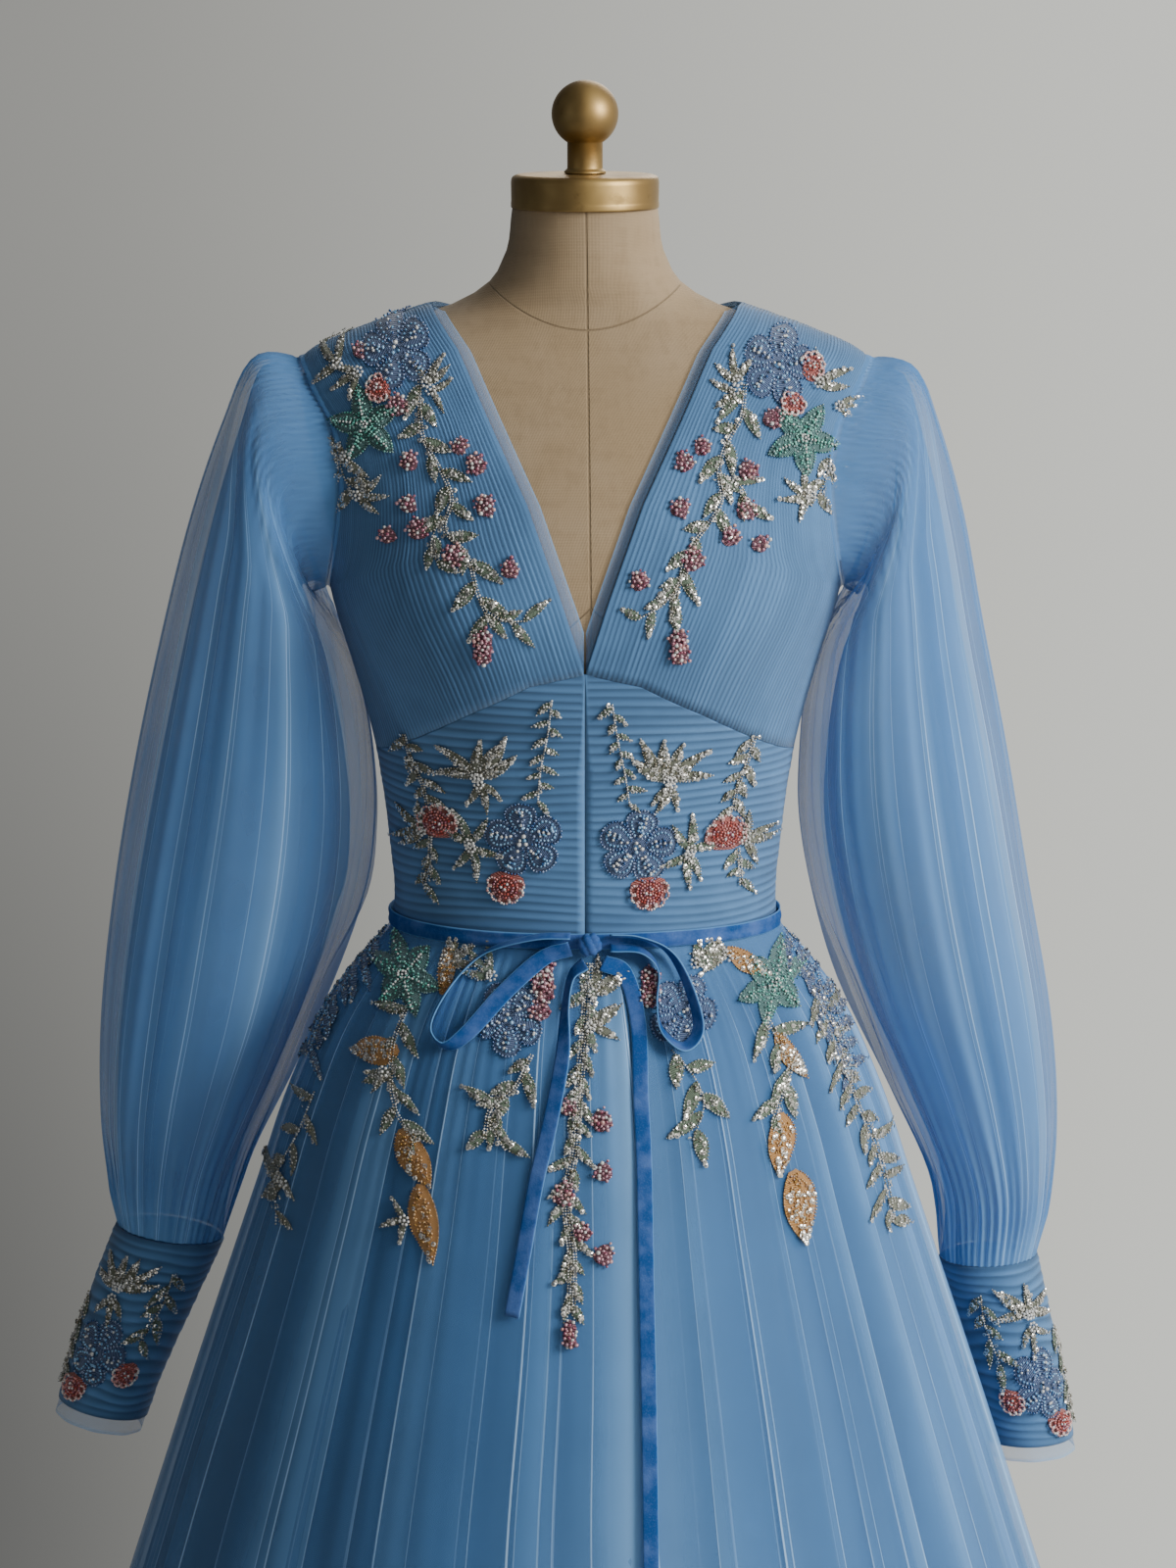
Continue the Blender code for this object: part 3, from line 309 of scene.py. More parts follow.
def torso_point(theta, z):
    """Half ellipses of the form's sections with a raised bust; theta 0 is front, 90 degrees +X."""
    hw, front, back, cy = torso_section(z)
    side, ahead = np.sin(theta), np.cos(theta)
    bust = 0.010 * np.exp(-((np.abs(theta) - 0.62) / 0.34) ** 2 - ((z - 1.262) / 0.040) ** 2)
    depth = np.where(ahead > 0, front, back) + bust
    return np.stack([hw * side, cy - depth * ahead, z + 0 * side], -1)


def skirt_point(theta, z):
    """Half ellipses of the skirt's sections."""
    hw, front, back = skirt_section(z)
    side, ahead = np.sin(theta), np.cos(theta)
    depth = np.where(ahead > 0, front, back)
    return np.stack([hw * side, -depth * ahead, z + 0 * side], -1)


def off(point, theta, z, distance, level=False):
    """The surface point moved out along the surface normal, or level along it."""
    step = 1e-4
    along = point(theta + step, z) - point(theta - step, z)
    up = point(theta, z + step) - point(theta, z - step)
    normal = np.cross(along, up)
    if level:
        normal[..., 2] = 0
    normal /= np.linalg.norm(normal, axis=-1, keepdims=True)
    return point(theta, z) + normal * np.asarray(distance, dtype=float)[..., None]


def angle_on_torso(x, y, z):
    hw, front, back, cy = torso_section(z)
    ahead = cy - y
    return np.arctan2(x / hw, ahead / np.where(ahead > 0, front, back))


def front_angle(x, z):
    return np.arcsin(np.clip(x / torso_section(z)[0], -1.0, 1.0))


def torso_xyz(x, z, front):
    theta = front_angle(x, z)
    return torso_point(theta if front else math.pi - theta, z)


def along_curve(points, shares):
    """Points of a polyline at the given shares of its length."""
    data = np.array(points, dtype=float)
    dist = np.concatenate([[0], np.cumsum(np.linalg.norm(np.diff(data, axis=0), axis=1))])
    at = np.asarray(shares) * dist[-1]
    return np.stack([np.interp(at, dist, data[:, k]) for k in range(data.shape[1])], -1)


def armhole(phi, grow=0.0):
    """Armhole on the form: an upright oval seen from the side, laid on the section's x."""
    middle, half = (ARM_TOP_Z + ARM_LOW_Z) / 2, (ARM_TOP_Z - ARM_LOW_Z) / 2 + grow
    z = middle + half * np.cos(phi)
    hw, front, back, cy = torso_section(z)
    y = cy - (ARM_HALF_DEPTH + grow) * np.sin(phi)
    depth = np.where(y < cy, front, back)
    x = hw * np.sqrt(np.clip(1 - ((y - cy) / depth) ** 2, 0, 1))
    return np.stack([x, y, z], -1)


def bodice_grid(front, rows, cols):
    """Coons patch of a bodice panel: row 0 at the shoulder, column 0 along the neck opening."""
    u = np.linspace(0, 1, rows) ** 1.4
    v = np.linspace(0, 1, cols)
    sign = 1 if front else -1
    edge = math.pi / 2 - sign * SEAM_ANGLE
    low = EMPIRE_SIDE_Z + SEAT / 2
    opening = along_curve(NECK_V if front else BACK_V + [(low, SEAT / 2)], u)
    centre = torso_xyz(opening[:, 1], opening[:, 0], front)
    dense = np.linspace(0, 1, 49)
    arm = armhole(sign * math.pi * dense, 0.0004)
    seam_z = ARM_LOW_Z + (low - ARM_LOW_Z) * dense[1:]
    outer = along_curve(np.concatenate([arm, torso_point(np.full(seam_z.shape, edge), seam_z)]), u)
    if front:
        seam = along_curve(EMPIRE, np.linspace(0, 1, 97))
        seam = torso_xyz(np.clip(seam[:, 0], SEAT, None), seam[:, 1] - EMPIRE_GAP * 0.8, True)
        base = along_curve(np.concatenate([seam, torso_point(np.array([edge]), low)]), v)
    else:
        base = torso_point(np.linspace(math.pi - SEAM_ANGLE, edge, cols), np.full(cols, low))
    top = torso_point(np.full(cols, edge), opening[0, 0] + (ARM_TOP_Z + 0.0004 - opening[0, 0]) * v)
    centre[0], outer[0], base[0], base[-1] = top[0], top[-1], centre[-1], outer[-1]
    U, V = u[:, None, None], v[None, :, None]
    grid = ((1 - V) * centre[:, None] + V * outer[:, None] + (1 - U) * top[None] + U * base[None]
            - (1 - U) * (1 - V) * top[0] - (1 - U) * V * top[-1]
            - U * (1 - V) * base[0] - U * V * base[-1])
    theta = angle_on_torso(grid[..., 0], grid[..., 1], grid[..., 2])
    return (np.minimum(theta, edge) if front else np.maximum(theta, edge)), grid[..., 2]


def midriff_half_width(z):
    """Largest angle of the front midriff: under the empire seam, then to the side seam."""
    data = np.array(EMPIRE)[::-1]
    x = np.clip(np.interp(z, data[:, 1] - EMPIRE_GAP, data[:, 0]), 0.006, None)
    return np.where(z <= EMPIRE_SIDE_Z - EMPIRE_GAP, math.pi / 2, front_angle(x, z)) - SEAM_ANGLE


def ridge(phase, sharp=1.0):
    """Rounded ridges between narrow troughs: 0 in the trough, 1 on the crest."""
    return (0.5 - 0.5 * np.cos(math.tau * phase)) ** sharp


def knife(phase):
    """A soft pressed pleat: a short rise to its edge, then a long fall."""
    t = phase - np.floor(phase)
    rise = np.clip(t / 0.26, 0, 1)
    fall = np.clip((t - 0.26) / 0.74, 0, 1)
    return np.where(t < 0.26, rise * rise * (3 - 2 * rise), 1 - fall ** 1.25)


def skirt_drop(z):
    return np.clip((WAIST_Z - 0.004 - z) / (WAIST_Z - HEM_Z), 0, 1)


def skirt_folds(theta, z):
    """Broad soft folds that wander in width, narrower ones between, and gathers at the waist."""
    s = skirt_drop(z)
    wander = (1.9 * np.sin(3 * theta + 0.8) + 1.3 * np.sin(5 * theta + 2.1)
              + 0.7 * np.sin(11 * theta + 0.5))
    slow = 0.60 + 0.40 * np.sin(5 * theta + 1.7) * np.cos(2 * theta + 0.4)
    main = 0.0075 * s ** 0.85 * slow * ridge((OVERLAY_FOLDS * theta + wander) / math.tau, 0.8)
    narrow = ridge((OVERLAY_NARROW * theta + 1.9 * wander + 1.1) / math.tau, 1.1)
    second = 0.0012 * s ** 0.6 * narrow
    early = np.clip(s / 0.012, 0, 1) * np.exp(-s / 0.09)
    gather = 0.0017 * early * ridge((OVERLAY_GATHERS * theta + 2.5 * wander) / math.tau, 1.1)
    return main + second * (1.15 - slow) * 1.6 + gather


SKIRT_REST = CLOTH_IN + LINING_WALL + SEAT + SKIRT_WALL


def skirt_front(x, z, lift):
    """Point in front of the overlay's highest folds, as in the solids."""
    z = np.clip(z, HEM_Z, WAIST_Z)
    hw = skirt_section(z)[0]
    theta = np.arcsin(np.clip(x / hw, -1, 1))
    s = np.clip((WAIST_Z - 0.006 - z) / (WAIST_Z - HEM_Z), 0, 1)
    uneven = 0.72 + 0.28 * np.sin(3.1 * theta + 0.7) * np.sin(7.3 * theta + 1.9)
    return off(skirt_point, theta, z, SKIRT_REST + 0.0125 * s ** 0.75 * uneven + lift, level=True)


def on_skirt(x, z, lift, back=False):
    """Point on the overlay's own folds."""
    z = np.clip(z, HEM_Z, WAIST_Z - 0.001)
    theta = np.arcsin(np.clip(x / skirt_section(z)[0], -1, 1))
    if back:
        theta = math.pi - theta
    rest = SKIRT_REST + skirt_folds(theta, z) + 0.0006
    return off(skirt_point, theta, z, rest + lift, level=True)


def on_skirt_back(x, z, lift):
    return on_skirt(x, z, lift, back=True)


def on_bodice(x, z, lift):
    return off(torso_point, front_angle(x, z), z + 0 * x,
               CLOTH_IN + CLOTH_WALL + PLEAT_RISE * 0.45 + lift)


def tube_point(table, turn, share):
    """Ring of a sleeve or cuff table at a share of its length; turn 0 outer side, 90 front."""
    rows = smooth_lookup(share * (len(table) - 1), np.arange(len(table)) * 1.0, table)
    y, b, ox, oz, ix, iz = [rows[..., k] for k in range(6)]
    c, s = np.cos(turn), np.sin(turn)
    return np.stack([(ox + ix) / 2 + (ox - ix) / 2 * c, y - b * s,
                     (oz + iz) / 2 + (oz - iz) / 2 * c], -1)


def grid_normal(grid):
    """Outward normal of a closed tube grid whose rows run down."""
    around = np.roll(grid, -1, 1) - np.roll(grid, 1, 1)
    normal = np.cross(around, np.gradient(grid, axis=0))
    centre = grid.mean(1, keepdims=True)
    sign = np.sign((normal * (grid - centre)).sum(-1, keepdims=True).sum(1, keepdims=True))
    normal = normal * sign
    return normal / np.linalg.norm(normal, axis=-1, keepdims=True)


def skirt_clear(grid, clear):
    """Moves the points of a hanging tube out in x until they clear the skirt."""
    hw, front, back = skirt_section(np.clip(grid[..., 2], 0, WAIST_Z))
    depth = np.where(grid[..., 1] < 0, front, back) + clear
    limit = (hw + clear) * np.sqrt(np.clip(1 - (grid[..., 1] / depth) ** 2, 0, 1))
    out = grid.copy()
    out[..., 0] = np.maximum(grid[..., 0], limit * np.clip((WAIST_Z - grid[..., 2]) / 0.02, 0, 1))
    return out


# Meshes

class Stuff:
    """Points, faces and marks of one piece, gathered as arrays before they become its mesh."""

    def __init__(self, *marks):
        self.names = marks
        self.points, self.faces, self.slots = [], [], []
        self.marks = {name: [] for name in marks}
        self.count = 0

    def add(self, points, faces, slot=0, **marks):
        points = np.asarray(points, dtype=float).reshape(-1, 3)
        faces = np.asarray(faces)
        self.points.append(points)
        self.faces.append(faces + self.count)
        self.slots.append(np.broadcast_to(slot, (len(faces),)))
        for name in self.names:
            mark = np.asarray(marks.get(name, 0.0), dtype=float)
            mark = mark.ravel() if mark.ndim else mark
            self.marks[name].append(np.broadcast_to(mark, (len(points),)))
        self.count += len(points)

    def sheet(self, grid, closed=False, ring=False, slot=0, flip=False, **marks):
        """A grid whose rows run down and whose columns run to +X seen from outside."""
        rows, cols = grid.shape[:2]
        ids = np.arange(rows * cols).reshape(rows, cols)
        if closed:
            ids = np.hstack([ids, ids[:, :1]])
        if ring:
            ids = np.vstack([ids, ids[:1]])
        quads = np.stack([ids[:-1, :-1], ids[1:, :-1], ids[1:, 1:], ids[:-1, 1:]], -1)
        quads = quads.reshape(-1, 4)
        self.add(grid, quads[:, ::-1] if flip else quads, slot, **marks)

    def fan(self, centre, ring, flip=False):
        """Triangles from a closed ring to a point."""
        n = len(ring)
        j = np.arange(n)
        tris = np.stack([np.full(n, n), j, (j + 1) % n], -1)
        self.add(np.concatenate([ring, [centre]]), tris[:, ::-1] if flip else tris)

    def build(self, name, finishes):
        """Makes the mesh and its object, smooth shaded, with the marks as point attributes."""
        points = np.concatenate(self.points)
        sizes = np.concatenate([np.full(len(f), f.shape[1]) for f in self.faces])
        loops = np.concatenate([f.reshape(-1) for f in self.faces]).astype(np.int32)
        mesh = bpy.data.meshes.new(name)
        mesh.vertices.add(len(points))
        mesh.vertices.foreach_set("co", points.astype(np.float32).ravel())
        mesh.loops.add(len(loops))
        mesh.loops.foreach_set("vertex_index", loops)
        mesh.polygons.add(len(sizes))
        starts = np.concatenate([[0], np.cumsum(sizes)[:-1]]).astype(np.int32)
        mesh.polygons.foreach_set("loop_start", starts)
        mesh.polygons.foreach_set("material_index", np.concatenate(self.slots).astype(np.int32))
        for finish in finishes:
            mesh.materials.append(finish)
        mesh.update(calc_edges=True)
        for key in self.names:
            layer = mesh.attributes.new(key, "FLOAT", "POINT")
            layer.data.foreach_set("value", np.concatenate(self.marks[key]).astype(np.float32))
        mesh.shade_smooth()
        obj = bpy.data.objects.new(name, mesh)
        bpy.context.scene.collection.objects.link(obj)
        return obj


def with_edges(outer, inner):
    """Pads a cloth grid with a ring of the inner grid's points, so its edges turn in."""
    grid = np.pad(outer, ((1, 1), (1, 1), (0, 0)), mode="edge")
    turn = np.pad(inner, ((1, 1), (1, 1), (0, 0)), mode="edge")
    grid[0], grid[-1], grid[:, 0], grid[:, -1] = turn[0], turn[-1], turn[:, 0], turn[:, -1]
    return grid


def padded_mark(mark):
    return np.pad(mark, 1, mode="edge")


def soft_profile(profile, reach):
    """Each corner of a profile of radius and height becomes a short quadratic curve."""
    pts = np.array(profile, dtype=float)
    out = [pts[:1]]
    t = np.linspace(0, 1, 5)[:, None]
    for a, b, c in zip(pts[:-2], pts[1:-1], pts[2:]):
        da, dc = a - b, c - b
        ra = min(reach, np.linalg.norm(da) * 0.45) / np.linalg.norm(da)
        rc = min(reach, np.linalg.norm(dc) * 0.45) / np.linalg.norm(dc)
        start, end = b + da * ra, b + dc * rc
        out.append((1 - t) ** 2 * start + 2 * t * (1 - t) * b + t ** 2 * end)
    out.append(pts[-1:])
    return np.concatenate(out)


def revolve(stuff, profile, segments):
    """Turns a profile, top to bottom with both ends on the axis, about +Z."""
    a = np.linspace(0, math.tau, segments, endpoint=False)
    r, z = profile[1:-1, 0][:, None], profile[1:-1, 1][:, None]
    grid = np.stack([r * np.cos(a), r * np.sin(a), z + 0 * a[None, :]], -1)
    stuff.sheet(grid, closed=True)
    stuff.fan((0, 0, profile[0, 1]), grid[0])
    stuff.fan((0, 0, profile[-1, 1]), grid[-1], flip=True)


# Shader maths

class Value:
    """A shader socket that takes part in Python expressions; each operation adds one Math node."""

    def __init__(self, finish, socket):
        self.finish, self.socket = finish, socket

    def math(self, operation, *others):
        node = self.finish.tree.nodes.new("ShaderNodeMath")
        node.operation = operation
        for socket, value in zip(node.inputs, (self,) + others):
            self.finish.feed(socket, value)
        return Value(self.finish, node.outputs[0])

    def __add__(self, other):
        return self.math("ADD", other)

    def __sub__(self, other):
        return self.math("SUBTRACT", other)

    def __rsub__(self, other):
        return self.math("MULTIPLY_ADD", -1.0, other)

    def __mul__(self, other):
        return self.math("MULTIPLY", other)

    def __abs__(self):
        return self.math("ABSOLUTE")

    __radd__, __rmul__ = __add__, __mul__

    def sin(self):
        return self.math("SINE")

    def low(self, other):
        return self.math("MINIMUM", other)

    def high(self, other):
        return self.math("MAXIMUM", other)

    def step(self, start, end):
        """0 at start and 1 at end, smooth between; start may be the larger."""
        rising = float(start < end)
        node = self.finish.node(
            "ShaderNodeMapRange", {"interpolation_type": "SMOOTHSTEP"},
            {"Value": self, "From Min": min(start, end), "From Max": max(start, end),
             "To Min": 1.0 - rising, "To Max": rising})
        return Value(self.finish, node.outputs["Result"])


class Finish:
    """A material with its Principled shader and short ways to add nodes."""

    def __init__(self, name, constants):
        self.material = bpy.data.materials.new(name)
        self.material.use_nodes = True
        self.tree = self.material.node_tree
        self.shader = self.tree.nodes["Principled BSDF"]
        for socket, value in constants.items():
            self.feed(self.shader.inputs[socket], value)
        self.place = None

    def feed(self, socket, value):
        if isinstance(value, Value):
            self.tree.links.new(value.socket, socket)
        elif isinstance(value, tuple):
            socket.default_value = tuple(value) + (1.0,) * (len(socket.default_value) - len(value))
        else:
            socket.default_value = value

    def node(self, kind, settings, sockets):
        node = self.tree.nodes.new(kind)
        for key, value in settings.items():
            setattr(node, key, value)
        for key, value in sockets.items():
            self.feed(node.inputs[key], value)
        return node

    def spot(self):
        if self.place is None:
            node = self.node("ShaderNodeTexCoord", {}, {})
            self.place = Value(self, node.outputs["Object"])
        return self.place

    def axes(self):
        node = self.node("ShaderNodeSeparateXYZ", {}, {"Vector": self.spot()})
        return [Value(self, node.outputs[k]) for k in range(3)]

    def stretched(self, scale):
        node = self.node("ShaderNodeMapping", {}, {"Vector": self.spot(), "Scale": scale})
        return Value(self, node.outputs["Vector"])

    def mark(self, name):
        node = self.node("ShaderNodeAttribute", {"attribute_name": name}, {})
        return Value(self, node.outputs["Fac"])

    def noise(self, scale, detail=2.0, roughness=0.5, stretch=None):
        vector = self.stretched(stretch) if stretch else self.spot()
        node = self.node("ShaderNodeTexNoise", {}, {"Vector": vector, "Scale": scale,
                                                    "Detail": detail, "Roughness": roughness})
        return Value(self, node.outputs["Fac"])

    def cells(self, w, feature, output):
        node = self.node("ShaderNodeTexVoronoi", {"voronoi_dimensions": "1D", "feature": feature},
                         {"W": w, "Scale": 1.0})
        return Value(self, node.outputs[output])

    def mix(self, share, a, b):
        node = self.node("ShaderNodeMix", {"data_type": "RGBA"}, {0: share, 6: a, 7: b})
        return Value(self, node.outputs[2])

    def bump(self, height, distance, strength=1.0):
        node = self.node("ShaderNodeBump", {}, {"Height": height, "Distance": distance,
                                                "Strength": strength})
        self.give({"Normal": Value(self, node.outputs["Normal"])})

    def give(self, sockets):
        for key, value in sockets.items():
            self.feed(self.shader.inputs[key], value)
        return self.material


def tone(color, share):
    return tuple(min(1.0, c * share) for c in color)


def lifted(color, share):
    return tuple(c + (1 - c) * share for c in color)


def colours():
    return bpy.context.scene.gown_colours


def net(f, pitch):
    """Fine net of two crossed sets of threads, 0 in the holes and 1 on the threads."""
    x, y, z = f.axes()
    a = ((x + y * 0.6 + z) * (math.tau / pitch)).sin()
    b = ((x + y * 0.6 - z) * (math.tau / pitch)).sin()
    return abs(a).step(0.35, 0.0).high(abs(b).step(0.35, 0.0))


def pleated_tulle():
    f = Finish("pleated_tulle", {"Roughness": 0.85, "Sheen Weight": 0.20, "Sheen Roughness": 0.5,
                                 "Specular IOR Level": 0.2})
    base = tuple(c * share for c, share in zip(colours().tulle, (0.96, 0.72, 0.62)))
    crest = f.mark("crest")
    patches = f.noise(14.0, 3.0, 0.6)
    streak = f.noise(90.0, 2.0, 0.5)
    # painted shade and highlight: the crest mark darkens the pleat troughs and lightens the pleat
    # crests; the pale haze on the crest tops is partly the doubled tulle of each pressed fold and
    # partly a painted highlight
    color = f.mix(crest.step(0.0, 0.7), tone(base, 0.62), tone(base, 1.12))
    color = f.mix((crest.step(0.55, 1.0)) * 0.22, color, haze(0.55))
    color = f.mix(patches.step(0.42, 0.72) * 0.18, color, haze(0.45))
    color = f.mix(streak.step(0.5, 0.8) * 0.12, color, tone(base, 0.74))
    f.give({"Base Color": color})
    f.bump(net(f, 0.0013) * 0.5 + streak * 0.6, 0.00022, 0.5)
    return f.material


def haze(share):
    """The pale sky blue of doubled tulle, mixed into its colour."""
    base, pale = tuple(colours().tulle), tuple(colours().haze)
    return tuple(b + (p - b) * share for b, p in zip(base, pale))


def bands(f, around, number, line):
    """Overlapping folds as cells of uneven width: a haze that fades from one crisp pale edge, the
    edge partly denser tulle turned edge-on and partly a painted highlight.
    """
    w = around * number
    place = f.cells(w, "F1", "W")
    own = f.cells(w, "F1", "Color")
    rim = f.cells(w, "DISTANCE_TO_EDGE", "Distance")
    ramp = ((w - place) * 1.1 + 0.5).low(1.0).high(0.0)
    turned = own.step(0.49, 0.51)
    ramp = ramp * turned + (1.0 - ramp) * (1.0 - turned)
    folds = ramp * (ramp * 0.65 + 0.35) * own.step(-0.2, 0.9)
    return folds, rim.step(line, line * 0.55) * own.step(0.05, 0.5)


def sheer(name, sets, clear, full, top, ends, begin, crisp):
    """See-through tulle whose folds fall in straight bands; denser where it is gathered."""
    f = Finish(name, {"Roughness": 0.88, "Sheen Weight": 0.12, "Specular IOR Level": 0.12})
    steep, around, down = f.mark("fold"), f.mark("around"), f.mark("down")
    sway = f.noise(3.0, 1.0, 0.5) * 0.012
    dense, lines = None, None
    for number, line, share in sets:
        ramp, edge = bands(f, around + sway, number, line)
        dense = ramp * share if dense is None else dense + ramp * share
        lines = edge * share if lines is None else lines.high(edge * share)
    gather = 1.0 - down.step(0.0, ends[0])
    if ends[1] < 1.0:
        gather = gather.high(down.step(ends[1], 1.0))
    start = down.step(*begin)
    fading = f.noise(5.0, 1.0, 0.5).step(0.30, 0.62)
    lines = lines * start * (fading * 0.65 + 0.35) * crisp
    airy = f.noise(2.2, 2.0, 0.5, stretch=(1.0, 1.0, 0.5)).step(0.34, 0.66)
    dense = dense * start * (airy * 0.45 + 0.62) + steep.step(0.15, 1.0) * 0.12 + gather * 0.25
    dense = dense.low(1.0)
    mist = f.noise(9.0, 3.0, 0.6).step(0.3, 0.75) * 0.10
    color = f.mix(dense, haze(0.0), haze(top))
    # pale fold-edge lines: partly denser tulle turned edge-on, partly a painted highlight lifted
    # above the doubled haze
    color = f.mix(lines, color, lifted(tuple(colours().haze), 0.18))
    threads = net(f, 0.0016)
    alpha = dense * (full - clear) + clear + lines * 0.45 + threads * 0.05 + mist
    f.give({"Base Color": color, "Alpha": alpha.low(0.97)})
    f.bump(threads, 0.0002, 0.4)
    return f.material


def edge_net():
    f = Finish("edge_net", {"Roughness": 0.85, "Sheen Weight": 0.2})
    threads = net(f, 0.0011)
    rim = f.mark("rim")
    f.give({"Base Color": f.mix(rim.step(0.4, 1.0) * 0.7, haze(0.3), haze(0.7)),
            "Alpha": threads * 0.18 + rim.step(0.75, 1.0) * 0.25 + 0.30})
    f.bump(threads, 0.0002, 0.5)
    return f.material


def lining_cloth():
    f = Finish("lining_cloth", {"Roughness": 0.62, "Sheen Weight": 0.1, "Specular IOR Level": 0.3})
    base = tuple(colours().lining)
    x, y, z = f.axes()
    thread = (z * (math.tau / 0.0007)).sin() * ((x + y) * (math.tau / 0.0007)).sin()
    cloud = f.noise(4.0, 2.0, 0.5, stretch=(1.0, 1.0, 0.35))
    color = f.mix(cloud.step(0.35, 0.7), tone(base, 0.86), lifted(base, 0.06))
    f.give({"Base Color": color, "Roughness": cloud * 0.2 + 0.5})
    f.bump(thread, 0.00012, 0.35)
    return f.material


def velvet():
    f = Finish("velvet", {"Roughness": 0.80, "Sheen Weight": 0.15, "Sheen Roughness": 0.35,
                          "Sheen Tint": (0.25, 0.55, 1.0), "Specular IOR Level": 0.15})
    base = tuple(colours().velvet)
    edge, back = f.mark("edge"), f.mark("back")
    nap = f.noise(900.0, 2.0, 0.6)
    crush = f.noise(55.0, 3.0, 0.6)
    color = f.mix(crush.step(0.35, 0.72), tone(base, 0.72), lifted(base, 0.06))
    color = f.mix(nap.step(0.45, 0.8) * 0.18, color, lifted(base, 0.18))
    # painted sheen: the edge mark paints the velvet pale where its face rounds away or turns
    # edge-on; the back mark gives the ribbon's own paler reverse side
    pale = (0.12, 0.32, 0.62)
    color = f.mix(edge.step(0.62, 0.95) * 0.7, color, pale)
    color = f.mix(back * 0.75, color, pale)
    f.give({"Base Color": color, "Roughness": 0.78 - back * 0.35})
    f.bump(nap + crush * 0.8, 0.0004, 0.5)
    return f.material


def linen():
    f = Finish("linen", {"Roughness": 0.92, "Sheen Weight": 0.12, "Specular IOR Level": 0.2})
    base = tuple(colours().linen)
    x, y, z = f.axes()
    warp = ((x + y * 0.5) * (math.tau / 0.0009)).sin()
    weft = (z * (math.tau / 0.0009)).sin()
    slub = f.noise(160.0, 2.0, 0.6, stretch=(1.0, 1.0, 0.12))
    slub2 = f.noise(160.0, 2.0, 0.6, stretch=(0.12, 0.12, 1.0))
    stain = f.noise(7.0, 3.0, 0.6)
    color = f.mix(stain.step(0.35, 0.72), tone(base, 0.90), lifted(base, 0.05))
    color = f.mix((slub + slub2).step(0.95, 1.3) * 0.35, color, tone(base, 0.72))
    # the front seam runs down the middle, two darts meet under it and one seam rings the neck
    ahead = y.step(0.0, -0.01)
    middle = abs(x - (1.46 - z) * 0.012 - 0.0012).step(0.0011, 0.0003)
    slope = abs(z - 1.2735 + abs(x - 0.0035) * 0.9)
    dart = slope.step(0.0012, 0.0003) * abs(x - 0.0035).step(0.024, 0.020) * z.step(1.290, 1.280)
    ring = abs(z - 1.4385 - x * x * 7.2).step(0.0009, 0.0003) * abs(x).step(0.068, 0.064)
    seam = (middle.high(dart).high(ring)) * ahead
    color = f.mix(seam * 0.60, color, tone(base, 0.45))
    f.give({"Base Color": color})
    f.bump(warp * 0.25 + weft * 0.25 + slub + slub2 - seam * 3.0, 0.00035, 0.6)
    return f.material


def aged_brass(name, light, dark):
    f = Finish(name, {"Metallic": 0.95})
    spots = f.noise(60.0, 4.0, 0.65)
    cloud = f.noise(18.0, 3.0, 0.6)
    rub = f.noise(300.0, 1.0, 0.5, stretch=(1.0, 1.0, 8.0))
    color = f.mix(cloud.step(0.35, 0.68), dark, light)
    color = f.mix(spots.step(0.58, 0.75) * 0.55, color, tone(dark, 0.55))
    f.give({"Base Color": color, "Roughness": spots * 0.22 + 0.30 + rub * 0.08})
    f.bump(spots + rub * 0.3, 0.00012, 0.35)
    return f.material


def bead(name, color, metal, rough, coat, spread):
    """Glass or metal bead; the colour shifts a little from bead to bead."""
    f = Finish(name, {"Metallic": metal, "Coat Weight": coat, "Coat Roughness": 0.08,
                      "Specular IOR Level": 0.6})
    own = f.noise(420.0, 0.0, 0.5)
    shade = f.mix(own.step(0.35, 0.65), tone(color, 1 - spread), lifted(color, spread * 0.8))
    f.give({"Base Color": shade, "Roughness": own * 0.15 + rough})
    return f.material


def thread(name, color, rough=0.62):
    """Satin stitch: fine threads along the piece's own stitch mark."""
    f = Finish(name, {"Sheen Weight": 0.35, "Specular IOR Level": 0.35})
    lines = (f.mark("stitch") * 1.0).sin()
    fuzz = f.noise(700.0, 2.0, 0.6)
    # painted shade and sheen: darker between the stitches and lighter on them, following the stitch
    # mark
    shade = f.mix(lines.step(-0.6, 0.9), tone(color, 0.55), lifted(color, 0.14))
    shade = f.mix(fuzz.step(0.5, 0.8) * 0.3, shade, tone(color, 0.6))
    f.give({"Base Color": shade, "Roughness": fuzz * 0.1 + rough})
    f.bump(lines + fuzz * 0.5, 0.0003, 0.7)
    return f.material


def floor_paint():
    f = Finish("floor_paint", {"Roughness": 0.7, "Specular IOR Level": 0.2})
    cloud = f.noise(1.6, 3.0, 0.5)
    f.give({"Base Color": f.mix(cloud.step(0.3, 0.7), (0.52, 0.515, 0.50), (0.57, 0.565, 0.55))})
    f.bump(f.noise(120.0, 3.0, 0.6), 0.0006, 0.2)
    return f.material


# Finishes that need no row of a table
FINISHES = {
    "pleated_tulle": pleated_tulle, "edge_net": edge_net, "lining_cloth": lining_cloth,
    "velvet": velvet, "linen": linen, "floor_paint": floor_paint,
}
# Tables of the finishes that share a function
TABLES = ((bead, BEADS), (thread, THREADS), (sheer, NETS), (aged_brass, BRASS))
MADE = {}


def finish(name):
    """The material of that name, made once."""
    if name not in MADE:
        for make, table in TABLES:
            if name in table:
                MADE[name] = make(name, *table[name])
        if name in FINISHES:
            MADE[name] = FINISHES[name]()
    return MADE[name]


def carried(obj, slot, *nodes):
    """The finished piece rides on the only body and stands for its solids."""
    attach(obj, "root")
    if nodes:
        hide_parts(*nodes)
    return obj


def side_name(side):
    return "right" if side > 0 else "left"


